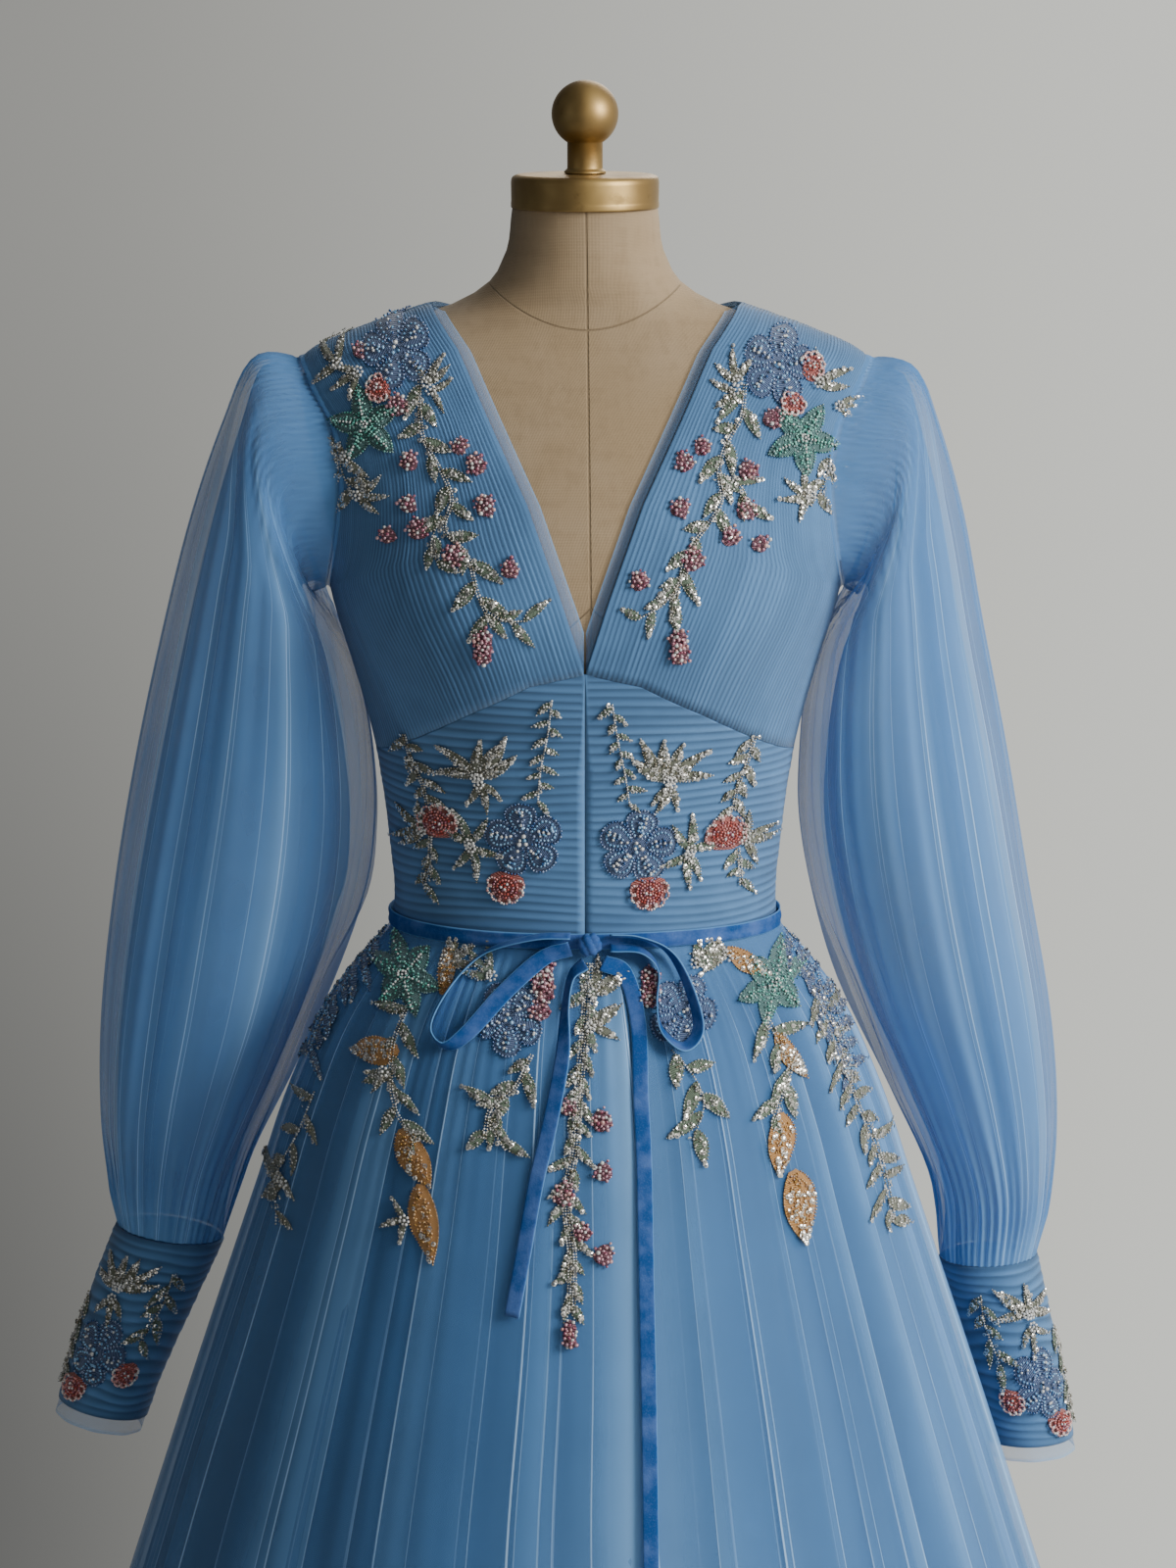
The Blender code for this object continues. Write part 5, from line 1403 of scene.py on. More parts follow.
class Beadwork:
    """Beads, ring sequins and stitched shapes laid on one surface of the gown."""

    def __init__(self, surface, seed):
        self.surface = surface
        self.stuff = Stuff("stitch")
        self.dice = np.random.default_rng(seed)
        self.origin = (0.0, 0.0, 0.0)

    def at(self, x, z, turn=0.0):
        """Sets the place and the turn in degrees of what is laid next."""
        self.origin = (x, z, math.radians(turn))

    def lay(self, u, v, lift):
        x0, z0, turn = self.origin
        u, v = np.asarray(u, float), np.asarray(v, float)
        x = x0 + u * math.cos(turn) - v * math.sin(turn)
        z = z0 + u * math.sin(turn) + v * math.cos(turn)
        return self.surface(x, z, lift + 0 * x)

    def beads(self, u, v, radius, kinds, lift=0.0):
        """Small balls, one at each point; kinds is one name or a list to pick from at random."""
        u, v = np.ravel(u), np.ravel(v)
        if not len(u):
            return
        r = np.broadcast_to(radius, u.shape) * self.dice.uniform(0.86, 1.12, u.shape)
        spots = self.lay(u, v, np.broadcast_to(lift, u.shape) + r * 0.75)
        points = spots[:, None, :] + r[:, None, None] * BEAD_POINTS[None]
        first = len(BEAD_POINTS) * np.arange(len(u))[:, None, None]
        faces = (BEAD_FACES[None] + first).reshape(-1, 3)
        kinds = [kinds] if isinstance(kinds, str) else kinds
        pick = self.dice.choice([KINDS.index(kind) for kind in kinds], len(u))
        self.stuff.add(points, faces, np.repeat(pick, len(BEAD_FACES)))

    def rings(self, u, v, radius=0.0016, lift=0.0012):
        """Ring sequins: flat rings that tilt a little, each from two circles of a few points."""
        u, v = np.ravel(u), np.ravel(v)
        if not len(u):
            return
        n = len(u)
        here = self.lay(u, v, np.full(n, lift))
        normal = self.lay(u, v, np.full(n, lift + 0.001)) - here
        normal += self.dice.normal(0, 0.00024, normal.shape)
        normal /= np.linalg.norm(normal, axis=-1, keepdims=True)
        side = np.cross(normal, np.array([0.0, 0.0, 1.0]) + 0.01)
        side /= np.linalg.norm(side, axis=-1, keepdims=True)
        up = np.cross(side, normal)
        a = np.linspace(0, math.tau, RING_SIDES, endpoint=False)
        circle = np.cos(a)[None, :, None] * side[:, None] + np.sin(a)[None, :, None] * up[:, None]
        r = (radius * self.dice.uniform(0.85, 1.12, n))[:, None, None]
        points = np.concatenate([here[:, None] + circle * r,
                                 here[:, None] + circle * r * 0.40 + normal[:, None] * r * 0.22], 1)
        j = np.arange(RING_SIDES)
        k = (j + 1) % RING_SIDES
        quad = np.stack([j, j + RING_SIDES, k + RING_SIDES, k], -1)
        faces = (quad[None] + 2 * RING_SIDES * np.arange(n)[:, None, None]).reshape(-1, 4)
        self.stuff.add(points, faces, KINDS.index("ring"))

    def blade(self, start, reach, half, point=0.0, bend=0.0, lean=None):
        """Outline of a petal or leaf, from shares along it (0 to 1) and across (-1 to 1)."""
        rise, blunt = lean or 0.70 + 0.30 * point, 0.50 + 0.60 * point

        def shape(s, w):
            wide = half * np.sin(math.pi * (0.07 + 0.93 * s ** rise)) ** blunt
            return start + (reach - start) * s, wide * w + bend * s * s * (reach - start)
        return shape

    def ground(self, shape, kind, height=0.0010, pitch=0.0005):
        """Satin stitch that fills an outline, raised in the middle."""
        s = np.linspace(0, 1, 9)[:, None] + 0 * np.zeros(5)[None, :]
        w = np.linspace(-1, 1, 5)[None, :] + 0 * s
        u, v = shape(s, w)
        run = (u.max() - u.min()) / pitch
        dome = height * (1 - w ** 2) * (0.4 + 0.6 * np.sin(math.pi * s)) + 0.0001
        self.stuff.sheet(self.lay(u, v, dome), slot=KINDS.index(kind),
                         stitch=run * math.pi * (s + 0.12 * np.abs(w)))

    def rim(self, shape, kinds, radius, first=0.03, gap=2.1):
        """Beads along both sides of an outline, evenly spaced round its tip."""
        dense = 1 - np.linspace(1 - first, 0, 60) ** 2
        for w in (-1.0, 1.0):
            u, v = shape(dense, w + 0 * dense)
            run = np.concatenate([[0], np.cumsum(np.hypot(np.diff(u), np.diff(v)))])
            count = max(4, int(run[-1] / (radius * gap)))
            s = np.interp(np.linspace(0, run[-1], count), run, dense)
            u, v = shape(s, w + 0 * s)
            self.beads(u, v, radius, kinds, 0.0002)

    def fill(self, shape, kinds, radius, spacing=2.1, keep=1.0, inner=0.80, height=0.0010):
        """Rows of beads inside an outline, spaced by their own size, some left out."""
        ends = shape(np.array([0.0, 1.0]), np.array([0.0, 0.0]))[0]
        sides = shape(np.array([0.5, 0.5]), np.array([-1.0, 1.0]))[1]
        n = max(3, int(abs(ends[1] - ends[0]) / (radius * spacing)))
        m = max(1, int(abs(sides[1] - sides[0]) / (radius * spacing)))
        s = (np.arange(n) + 0.5) / n
        w = (np.arange(m) + 0.5) / m * 2 - 1
        S, W = np.meshgrid(s, w, indexing="ij")
        W = W + (np.arange(n)[:, None] % 2 - 0.5) / m
        S, W = S.ravel() + self.dice.normal(0, 0.15 / n, S.size), W.ravel() * inner
        pick = (self.dice.random(S.size) < keep) & (S > 0.04) & (S < 0.97)
        u, v = shape(S[pick].clip(0.02, 0.98), W[pick])
        wide = shape(S[pick].clip(0.02, 0.98), 1 + 0 * W[pick])[1]
        low = shape(S[pick].clip(0.02, 0.98), -1 + 0 * W[pick])[1]
        room = (wide - low) / abs(sides[1] - sides[0])
        fits = room > self.dice.uniform(0.15, 0.75, room.size)
        self.beads(u[fits], v[fits], radius, kinds, height * (1 - W[pick][fits] ** 2))

    def around(self, count, make, turn0=90.0, share=360.0):
        """Makes the same shape several times, turned about the place."""
        x0, z0, turn = self.origin
        for k in range(count):
            self.origin = (x0, z0, turn + math.radians(turn0 + share * k / count))
            make()
        self.origin = (x0, z0, turn)

    def disc(self, radius, kinds, size, dome=0.0012, spacing=2.05, base=0.0):
        """Beads packed in a round, in rings, over a low dome."""
        rings = max(1, int(radius / (size * spacing)))
        for k in range(rings + 1):
            r = radius * k / rings
            n = max(1, int(math.tau * r / (size * spacing)))
            a = np.linspace(0, math.tau, n, endpoint=False) + k
            lift = base + dome * (1 - (k / (rings + 0.4)) ** 2)
            self.beads(r * np.cos(a), r * np.sin(a), size, kinds, lift)

    def flower(self, x, z, radius, turn=0.0):
        """Five round petals with a dark beaded rim, blue and white beads, and a pearl middle."""
        self.at(x, z, turn)
        shape = self.blade(radius * 0.08, radius, radius * 0.40, lean=1.9)
        inside = self.blade(radius * 0.26, radius * 0.86, radius * 0.27, lean=1.7)

        def petal():
            self.ground(shape, "blue_thread", 0.0012)
            self.rim(shape, "steel_blue", 0.00085)
            self.rim(inside, "ice", 0.00092)
            self.fill(inside, ["steel_blue", "ice", "pearl"], 0.00105, 2.7, 0.85, 0.42, 0.0018)
        self.around(5, petal)
        self.heap(radius * 0.15, ["pearl", "pearl", "ice"], 0.00130, 0.0014, 0.0012)

    def star(self, x, z, radius, turn=0.0, points=5):
        """Pointed petals packed with teal and mint beads round a short beaded vein."""
        self.at(x, z, turn)
        shape = self.blade(0.0006, radius, radius * 0.27, 0.55)

        def petal():
            self.ground(shape, "teal_thread", 0.0014)
            self.rim(shape, ["teal", "teal", "mint"], 0.00075)
            self.fill(shape, ["teal", "mint", "mint"], 0.00088, 2.4, 0.80, 0.60, 0.0014)
            run = np.linspace(radius * 0.1, radius * 0.8, 9)
            self.beads(run, 0 * run, 0.0009, ["mint", "pearl"], 0.0019)
        self.around(points, petal)
        self.disc(0.0020, "pearl", 0.0009, 0.0006, 2.0, 0.0020)

    def blossom(self, x, z, radius, turn=0.0):
        """Half blossom: a coral heart inside a scalloped edge of blush beads."""
        self.at(x, z, turn)
        shape = self.blade(-radius * 0.8, radius, radius * 0.95)
        self.ground(shape, "coral_thread", 0.0018)
        self.disc(radius * 0.62, ["coral", "coral", "rose"], 0.0009, 0.0012, 2.0, 0.0012)

        def scallop():
            a = np.linspace(-1.7, 1.7, 7)
            u, v = radius * (0.74 + 0.24 * np.cos(a)), radius * 0.26 * np.sin(a)
            self.beads(u, v, 0.00100, ["blush", "pearl", "blush"], 0.0012)
        self.around(7, scallop, -105.0, 245.0)
        u, v = [radius * 0.1, -radius * 0.2, 0.0], [0.0, radius * 0.1, -radius * 0.2]
        self.beads(u, v, 0.0010, "pearl", 0.0026)

    def heap(self, radius, kinds, size, dome, base=0.0, lobes=0):
        """Beads heaped without rows, each a golden angle on from the last."""
        n = max(3, int((radius / size) ** 2 * 0.72))
        k = np.arange(n) + 0.5
        a = k * GOLDEN_ANGLE + self.dice.uniform(0, 6)
        share = np.sqrt(k / n)
        r = radius * share * (1 + (0.13 * np.cos(lobes * a + 1.0) if lobes else 0))
        sizes = size * self.dice.uniform(0.75, 1.30, n)
        self.beads(r * np.cos(a), r * np.sin(a), sizes, kinds, base + dome * (1 - share ** 2))

    def berry(self, x, z, radius, tall=1.0):
        """Knot of rose beads heaped over a small stitched disc."""
        knots = 3 if tall > 1 else 1
        for k in range(knots):
            self.at(x, z + (k - (knots - 1) / 2) * radius * 0.75, self.dice.uniform(60, 120))
            pad = self.blade(-radius * 0.86, radius * 0.86, radius * 0.80)
            self.ground(pad, "rose_thread", 0.0012)
            self.heap(radius * 0.92, BERRY, 0.00118, 0.0022, 0.0006, 3)

    def leaf(self, x, z, length, wide, turn, ground="sage_thread", kinds=WHITE,
             sequins=0.5, bend=0.14, keep=0.32):
        """Pointed leaf, bent to one side: stitched, with a beaded rim, beads and sequins."""
        self.at(x, z, turn)
        shape = self.blade(0.0, length, wide / 2, 0.75, bend * self.dice.choice([-1, 1]))
        kinds = list(kinds)
        self.ground(shape, ground, 0.0012)
        self.rim(shape, kinds, 0.00064, gap=2.7)
        self.fill(shape, kinds, 0.00085, 2.2, keep, 0.62)
        n = max(1, int(sequins * length * wide / SEQUIN_AREA))
        s, w = self.dice.uniform(0.25, 1.0, n), self.dice.uniform(-0.8, 0.8, n)
        u, v = shape(s, w)
        self.rings(u, v, lift=0.0019)

    def stem(self, path, kinds=("silver", "champagne"), radius=0.0008, rows=1, sequins=0.3):
        """Beads along a smooth line through the path, with ring sequins beside it."""
        self.at(0, 0)
        data = np.array(path, dtype=float)
        dist = np.concatenate([[0], np.cumsum(np.hypot(*np.diff(data, axis=0).T))])
        fine = np.linspace(0, dist[-1], max(6, int(dist[-1] / (radius * 2.05))))
        x, z = [smooth_lookup(fine, dist, data[:, k]) for k in (0, 1)]
        dx, dz = np.gradient(x), np.gradient(z)
        size = np.hypot(dx, dz)
        for row in range(rows):
            side = (row - (rows - 1) / 2) * radius * 2.0
            self.beads(x - dz / size * side, z + dx / size * side, radius, list(kinds), 0.0004)
        n = int(sequins * len(fine))
        pick = self.dice.integers(0, len(fine), n)
        out = self.dice.choice([-1, 1], n) * self.dice.uniform(0.0008, 0.0030, n)
        self.rings(x[pick] - dz[pick] / size[pick] * out, z[pick] + dx[pick] / size[pick] * out)
        return x, z, dx / size, dz / size

    def vine(self, path, leaf_length, leaf_wide, step, rows=1, ground="sage_thread",
             kinds=WHITE, sequins=0.5, spread=42, keep=0.40):
        """A beaded stem with leaves to both sides in turn."""
        x, z, dx, dz = self.stem(path, kinds, rows=rows, sequins=sequins * 0.5)
        run = np.cumsum(np.hypot(np.gradient(x), np.gradient(z)))
        for k, at in enumerate(np.arange(step * 0.4, run[-1], step)):
            i = int(np.searchsorted(run, at).clip(0, len(x) - 1))
            lead = math.degrees(math.atan2(dz[i], dx[i]))
            turn = lead + (spread if k % 2 else -spread) + self.dice.uniform(-14, 14)
            grow = self.dice.uniform(0.72, 1.25)
            wide = leaf_wide * self.dice.uniform(0.85, 1.1)
            self.leaf(x[i], z[i], leaf_length * grow, wide, turn, ground, kinds, sequins, keep=keep)

    def cluster(self, x, z, reach, turn, blades=3, spread=75, ground="grey_thread",
                kinds=WHITE, sequins=0.7):
        """A few blades that spread from one foot, with pearls where they meet."""
        for k, a in enumerate(np.linspace(-spread / 2, spread / 2, blades)):
            grow = 1.0 - 0.25 * abs(k - (blades - 1) / 2) / max(1, blades / 2)
            self.leaf(x, z, reach * grow * 1.12, reach * 0.25, turn + a, ground, kinds, sequins,
                      bend=0.22, keep=0.45)
        self.at(x, z, turn)
        self.disc(0.0026, "pearl", 0.0011, 0.0008, 2.0, 0.0008)

    def done(self, name, slot, *nodes):
        obj = self.stuff.build(name, [finish(kind) for kind in KINDS])
        return carried(obj, slot, *nodes)


def build_bodice_beads():
    """Flowers, stars, berries and vines of both shoulders, each side laid out on its own."""
    left = Beadwork(on_bodice, 11)
    left.cluster(-0.153, 1.413, 0.019, 150, 3, 110)
    left.cluster(-0.14, 1.409, 0.017, 200, 3, 80)
    left.vine([(-0.102, 1.406), (-0.1015, 1.389), (-0.0985, 1.371), (-0.089, 1.355),
               (-0.081, 1.336), (-0.085, 1.318), (-0.072, 1.304), (-0.065, 1.281), (-0.058, 1.266)],
              0.02, 0.0074, 0.0105, rows=2, sequins=0.5)
    left.cluster(-0.0975, 1.404, 0.018, 70, 3, 90)
    left.cluster(-0.095, 1.4, 0.015, -15, 2, 60)
    left.vine([(-0.088, 1.324), (-0.093, 1.308), (-0.088, 1.295)], 0.015, 0.006, 0.008)
    left.vine([(-0.06, 1.27), (-0.048, 1.266), (-0.037, 1.266)], 0.016, 0.0058, 0.0075)
    left.vine([(-0.15, 1.368), (-0.149, 1.352), (-0.142, 1.337)], 0.017, 0.0062, 0.007,
              ground="grey_thread", sequins=0.8)
    left.cluster(-0.146, 1.36, 0.022, 178, 3, 60)
    left.cluster(-0.139, 1.336, 0.018, 10, 4, 120)
    left.star(-0.135, 1.379, 0.0235, 12)
    left.flower(-0.1165, 1.4225, 0.0225, 20)
    left.berry(-0.14, 1.4215, 0.005)
    left.blossom(-0.127, 1.4005, 0.008, 200)
    left.berry(-0.115, 1.3915, 0.0072)
    for x, z, r in ((-0.1075, 1.3585, 0.0066), (-0.0765, 1.368, 0.0062), (-0.0665, 1.357, 0.0072),
                    (-0.1075, 1.333, 0.0064), (-0.0605, 1.333, 0.0076), (-0.12, 1.3135, 0.006),
                    (-0.1015, 1.318, 0.0074), (-0.079, 1.303, 0.0078), (-0.0455, 1.296, 0.0066)):
        left.berry(x, z, r)
    left.berry(-0.0615, 1.251, 0.0066, 1.7)
    left.done("beads_shoulder_left", "flower", "shoulder_flower_left", "shoulder_star_left")
    right = Beadwork(on_bodice, 12)
    right.cluster(0.144, 1.403, 0.02, 30, 3, 100)
    right.cluster(0.156, 1.39, 0.017, -5, 3, 70)
    right.vine([(0.0985, 1.403), (0.096, 1.385), (0.086, 1.368), (0.0815, 1.352), (0.083, 1.336),
                (0.0745, 1.321), (0.064, 1.308), (0.056, 1.282), (0.052, 1.266)], 0.02, 0.0074,
               0.0105, rows=2, sequins=0.5)
    right.cluster(0.094, 1.405, 0.018, 110, 3, 90)
    right.cluster(0.092, 1.4, 0.016, 200, 2, 60)
    right.vine([(0.082, 1.351), (0.096, 1.342), (0.1, 1.328)], 0.015, 0.006, 0.008)
    right.vine([(0.06, 1.29), (0.046, 1.274), (0.034, 1.268)], 0.016, 0.0058, 0.008)
    right.vine([(0.15, 1.36), (0.147, 1.345), (0.138, 1.33)], 0.017, 0.0062, 0.007,
               ground="grey_thread", sequins=0.8)
    right.cluster(0.149, 1.352, 0.021, -20, 3, 70)
    right.cluster(0.137, 1.336, 0.018, 175, 4, 120)
    right.star(0.134, 1.371, 0.0235, 40)
    right.flower(0.1195, 1.414, 0.0225, -15)
    right.blossom(0.14, 1.412, 0.008, 40)
    right.blossom(0.128, 1.3925, 0.0078, 240)
    right.berry(0.116, 1.384, 0.0072)
    for x, z, r in ((0.0716, 1.368, 0.0062), (0.0605, 1.359, 0.007), (0.0995, 1.353, 0.0072),
                    (0.058, 1.332, 0.0068), (0.0985, 1.33, 0.0074), (0.0885, 1.314, 0.0066),
                    (0.1065, 1.309, 0.006), (0.0655, 1.301, 0.0078), (0.033, 1.2895, 0.0068)):
        right.berry(x, z, r)
    right.berry(0.057, 1.251, 0.0066, 1.7)
    right.done("beads_shoulder_right", "flower", "shoulder_flower_right", "shoulder_star_right")


def build_midriff_beads():
    """Sprigs, flowers and blossoms of the midriff, with a vine beside each side seam."""
    left = Beadwork(on_bodice, 21)
    left.vine([(-0.02, 1.2175), (-0.0225, 1.195), (-0.027, 1.169), (-0.0285, 1.15)], 0.01, 0.004,
              0.006, sequins=0.1, spread=58, kinds=("pearl", "silver"), keep=0.8)
    left.cluster(-0.066, 1.164, 0.027, 130, 3, 70)
    left.cluster(-0.064, 1.164, 0.029, 48, 3, 50)
    left.cluster(-0.064, 1.16, 0.018, -65, 3, 80)
    left.vine([(-0.11, 1.187), (-0.105, 1.169), (-0.099, 1.156), (-0.096, 1.143)], 0.013, 0.0052,
              0.0058, rows=2, sequins=0.7, ground="grey_thread")
    left.cluster(-0.07, 1.12, 0.021, 105, 3, 120, ground="sage_thread")
    left.cluster(-0.069, 1.117, 0.02, -70, 3, 90, ground="sage_thread")
    left.vine([(-0.094, 1.121), (-0.095, 1.104), (-0.098, 1.089)], 0.012, 0.005, 0.006, rows=2,
              sequins=0.6)
    left.cluster(-0.099, 1.124, 0.021, 172, 4, 120)
    left.flower(-0.037, 1.124, 0.024, 8)
    left.blossom(-0.048, 1.093, 0.0115, 265)
    left.blossom(-0.0895, 1.131, 0.0125, 95)
    left.done("beads_midriff_left", "flower", "midriff_flower_left", "midriff_blossom_left")
    right = Beadwork(on_bodice, 22)
    right.vine([(0.0165, 1.215), (0.0195, 1.193), (0.024, 1.169), (0.027, 1.148)], 0.01, 0.004,
               0.006, sequins=0.1, spread=58, kinds=("pearl", "silver"), keep=0.8)
    right.cluster(0.05, 1.163, 0.029, 132, 3, 50)
    right.cluster(0.052, 1.163, 0.027, 50, 3, 70)
    right.cluster(0.052, 1.159, 0.018, -105, 3, 80)
    right.vine([(0.103, 1.187), (0.098, 1.169), (0.093, 1.156), (0.09, 1.14)], 0.013, 0.0052,
               0.0058, rows=2, sequins=0.7, ground="grey_thread")
    right.cluster(0.064, 1.116, 0.021, 75, 3, 120, ground="sage_thread")
    right.cluster(0.063, 1.113, 0.02, -100, 3, 90, ground="sage_thread")
    right.vine([(0.093, 1.113), (0.0945, 1.101), (0.095, 1.089)], 0.012, 0.005, 0.006, rows=2,
               sequins=0.6)
    right.cluster(0.097, 1.118, 0.021, 8, 4, 120)
    right.flower(0.032, 1.12, 0.024, -10)
    right.blossom(0.039, 1.09, 0.012, 275)
    right.blossom(0.0855, 1.124, 0.013, 85)
    right.done("beads_midriff_right", "flower", "midriff_flower_right", "midriff_blossom_right")


def build_skirt_beads():
    """Falling vines, stars, flowers and amber leaves below the belt."""
    left = Beadwork(on_skirt, 31)
    left.vine([(-0.123, 1.05), (-0.144, 1.027), (-0.159, 1.003), (-0.173, 0.973)], 0.014, 0.0062,
              0.0056, rows=3, ground="blue_thread", kinds=BLUE, sequins=0.7, keep=0.8)
    left.cluster(-0.084, 1.044, 0.02, 20, 3, 70, ground="grey_thread")
    left.vine([(-0.106, 1.018), (-0.115, 0.997), (-0.117, 0.979), (-0.113, 0.956), (-0.102, 0.942)],
              0.018, 0.0066, 0.0095, rows=2, sequins=0.5)
    left.star(-0.109, 1.033, 0.0225, 18, 6)
    left.leaf(-0.087, 1.025, 0.032, 0.01, 72, "amber_thread", GOLD, 1.0, keep=0.6)
    left.leaf(-0.113, 0.993, 0.03, 0.016, 200, "amber_thread", GOLD, 1.2, keep=0.5)
    left.cluster(-0.121, 0.979, 0.014, 250, 3, 90)
    left.leaf(-0.111, 0.948, 0.036, 0.019, -68, "amber_thread", GOLD, 0.2, keep=0.5)
    left.leaf(-0.099, 0.918, 0.046, 0.018, -88, "amber_thread", GOLD, 0.2, keep=0.5)
    left.cluster(-0.108, 0.896, 0.015, 190, 3, 110)
    left.flower(-0.0455, 1.015, 0.0205, 30)
    left.cluster(-0.056, 1.038, 0.02, 150, 3, 80, ground="sage_thread")
    left.berry(-0.025, 1.038, 0.008, 1.6)
    left.berry(-0.027, 1.021, 0.007)
    left.vine([(-0.032, 0.996), (-0.043, 0.976), (-0.057, 0.964), (-0.06, 0.948)], 0.018, 0.0068,
              0.0085, rows=2, sequins=0.8)
    left.vine([(-0.05, 0.972), (-0.056, 0.956), (-0.048, 0.942)], 0.016, 0.006, 0.0085, sequins=0.5)
    left.vine([(-0.166, 0.956), (-0.177, 0.928), (-0.189, 0.902), (-0.19, 0.874)], 0.015, 0.005,
              0.011, ground="grey_thread", sequins=0.5)
    left.cluster(-0.185, 0.899, 0.022, 185, 3, 60)
    left.done("beads_hip_left", "flower", "hip_flower_left", "hip_star_left")
    right = Beadwork(on_skirt, 32)
    right.vine([(0.123, 1.049), (0.141, 1.025), (0.155, 0.995), (0.165, 0.969)], 0.014, 0.0062,
               0.0056, rows=3, ground="blue_thread", kinds=BLUE, sequins=0.7, keep=0.8)
    right.cluster(0.086, 1.046, 0.02, 160, 3, 70, ground="grey_thread")
    right.vine([(0.109, 1.012), (0.118, 0.995), (0.124, 0.98), (0.117, 0.962), (0.113, 0.952)],
               0.02, 0.0072, 0.0085, rows=2, sequins=0.8)
    right.star(0.114, 1.028, 0.0225, -14, 6)
    right.leaf(0.086, 1.05, 0.032, 0.01, -42, "amber_thread", GOLD, 1.0, keep=0.6)
    right.leaf(0.116, 1.001, 0.034, 0.01, -64, "amber_thread", GOLD, 1.2, keep=0.6)
    right.leaf(0.118, 0.956, 0.036, 0.017, -84, "amber_thread", GOLD, 0.6, keep=0.5)
    right.leaf(0.125, 0.922, 0.044, 0.0205, -72, "amber_thread", GOLD, 0.9, keep=0.55)
    right.flower(0.059, 1.018, 0.0205, -25)
    right.cluster(0.066, 1.044, 0.02, 30, 3, 80, ground="sage_thread")
    right.berry(0.039, 1.033, 0.007, 1.5)
    right.vine([(0.052, 0.998), (0.064, 0.984), (0.071, 0.97), (0.065, 0.947)], 0.022, 0.0085, 0.01,
               ground="sage_thread", sequins=0.4)
    right.vine([(0.141, 1.016), (0.154, 0.986), (0.166, 0.952), (0.179, 0.921), (0.19, 0.876)],
               0.015, 0.0055, 0.007, rows=2, ground="grey_thread", sequins=0.8)
    right.done("beads_hip_right", "flower", "hip_flower_right", "hip_star_right")
    middle = Beadwork(on_skirt, 33)
    middle.vine([(0.002, 1.046), (0.0000, 1.015), (-0.0035, 0.98), (-0.006, 0.945), (-0.011, 0.914),
                 (-0.0075, 0.88), (-0.0085, 0.85)], 0.015, 0.0056, 0.0066, rows=4, sequins=0.8,
                spread=34)
    middle.cluster(0.005, 1.03, 0.022, 40, 3, 60)
    middle.cluster(0.003, 1.012, 0.02, 20, 3, 60)
    for x, z, r in ((-0.01, 0.968, 0.0062), (0.01, 0.96, 0.0074), (0.011, 0.931, 0.0066),
                    (-0.013, 0.918, 0.0078),
                    (-0.002, 0.896, 0.0066), (0.0115, 0.883, 0.0072)):
        middle.berry(x, z, r)
    middle.berry(-0.009, 0.837, 0.0052, 2.0)
    middle.done("beads_centre_front", "flower")
    back = Beadwork(on_skirt_back, 34)
    for side in (-1, 1):
        back.vine([(side * 0.12, 1.045), (side * 0.1, 1.02), (side * 0.072, 1.004),
                   (side * 0.04, 0.998)], 0.018, 0.0068, 0.0085, sequins=0.4)
        back.star(side * 0.085, 1.017, 0.02, 10 * side)
        back.leaf(side * 0.112, 1.02, 0.034, 0.014, -90 + 15 * side, "amber_thread", GOLD, 0.6)
        back.vine([(side * 0.034, 1.0000), (side * 0.03, 0.98), (side * 0.033, 0.956)], 0.015,
                  0.0056, 0.008, sequins=0.5)
        back.berry(side * 0.056, 1.008, 0.0068)
        back.berry(side * 0.025, 0.99, 0.006)
    back.done("beads_hip_back", "flower")


def build_cuff_beads():
    """A flower, a coral blossom and leaf sprays on the front of each cuff."""
    for side, table, seed in ((-1, CUFF_LEFT, 41), (1, CUFF_RIGHT, 42)):
        work = Beadwork(cuff_surface(table, side), seed)
        work.cluster(-0.004, 0.038, 0.024, -140, 3, 70)
        work.cluster(-0.002, 0.038, 0.025, -35, 3, 60)
        work.cluster(-0.004, 0.046, 0.016, 90, 3, 110)
        work.vine([(0.026, 0.022), (0.028, 0.044), (0.024, 0.066)], 0.015, 0.0056, 0.007,
                  sequins=0.6)
        work.vine([(-0.03, 0.05), (-0.034, 0.075), (-0.031, 0.1)], 0.017, 0.0062, 0.007, rows=2,
                  sequins=0.6)
        work.flower(-0.002, 0.078, 0.0205, 15 * side)
        work.blossom(-0.012, 0.104, 0.0115, 100)
        work.blossom(0.022, 0.086, 0.0085, 80)
        work.done("beads_cuff_" + side_name(side), "flower")


# Stage

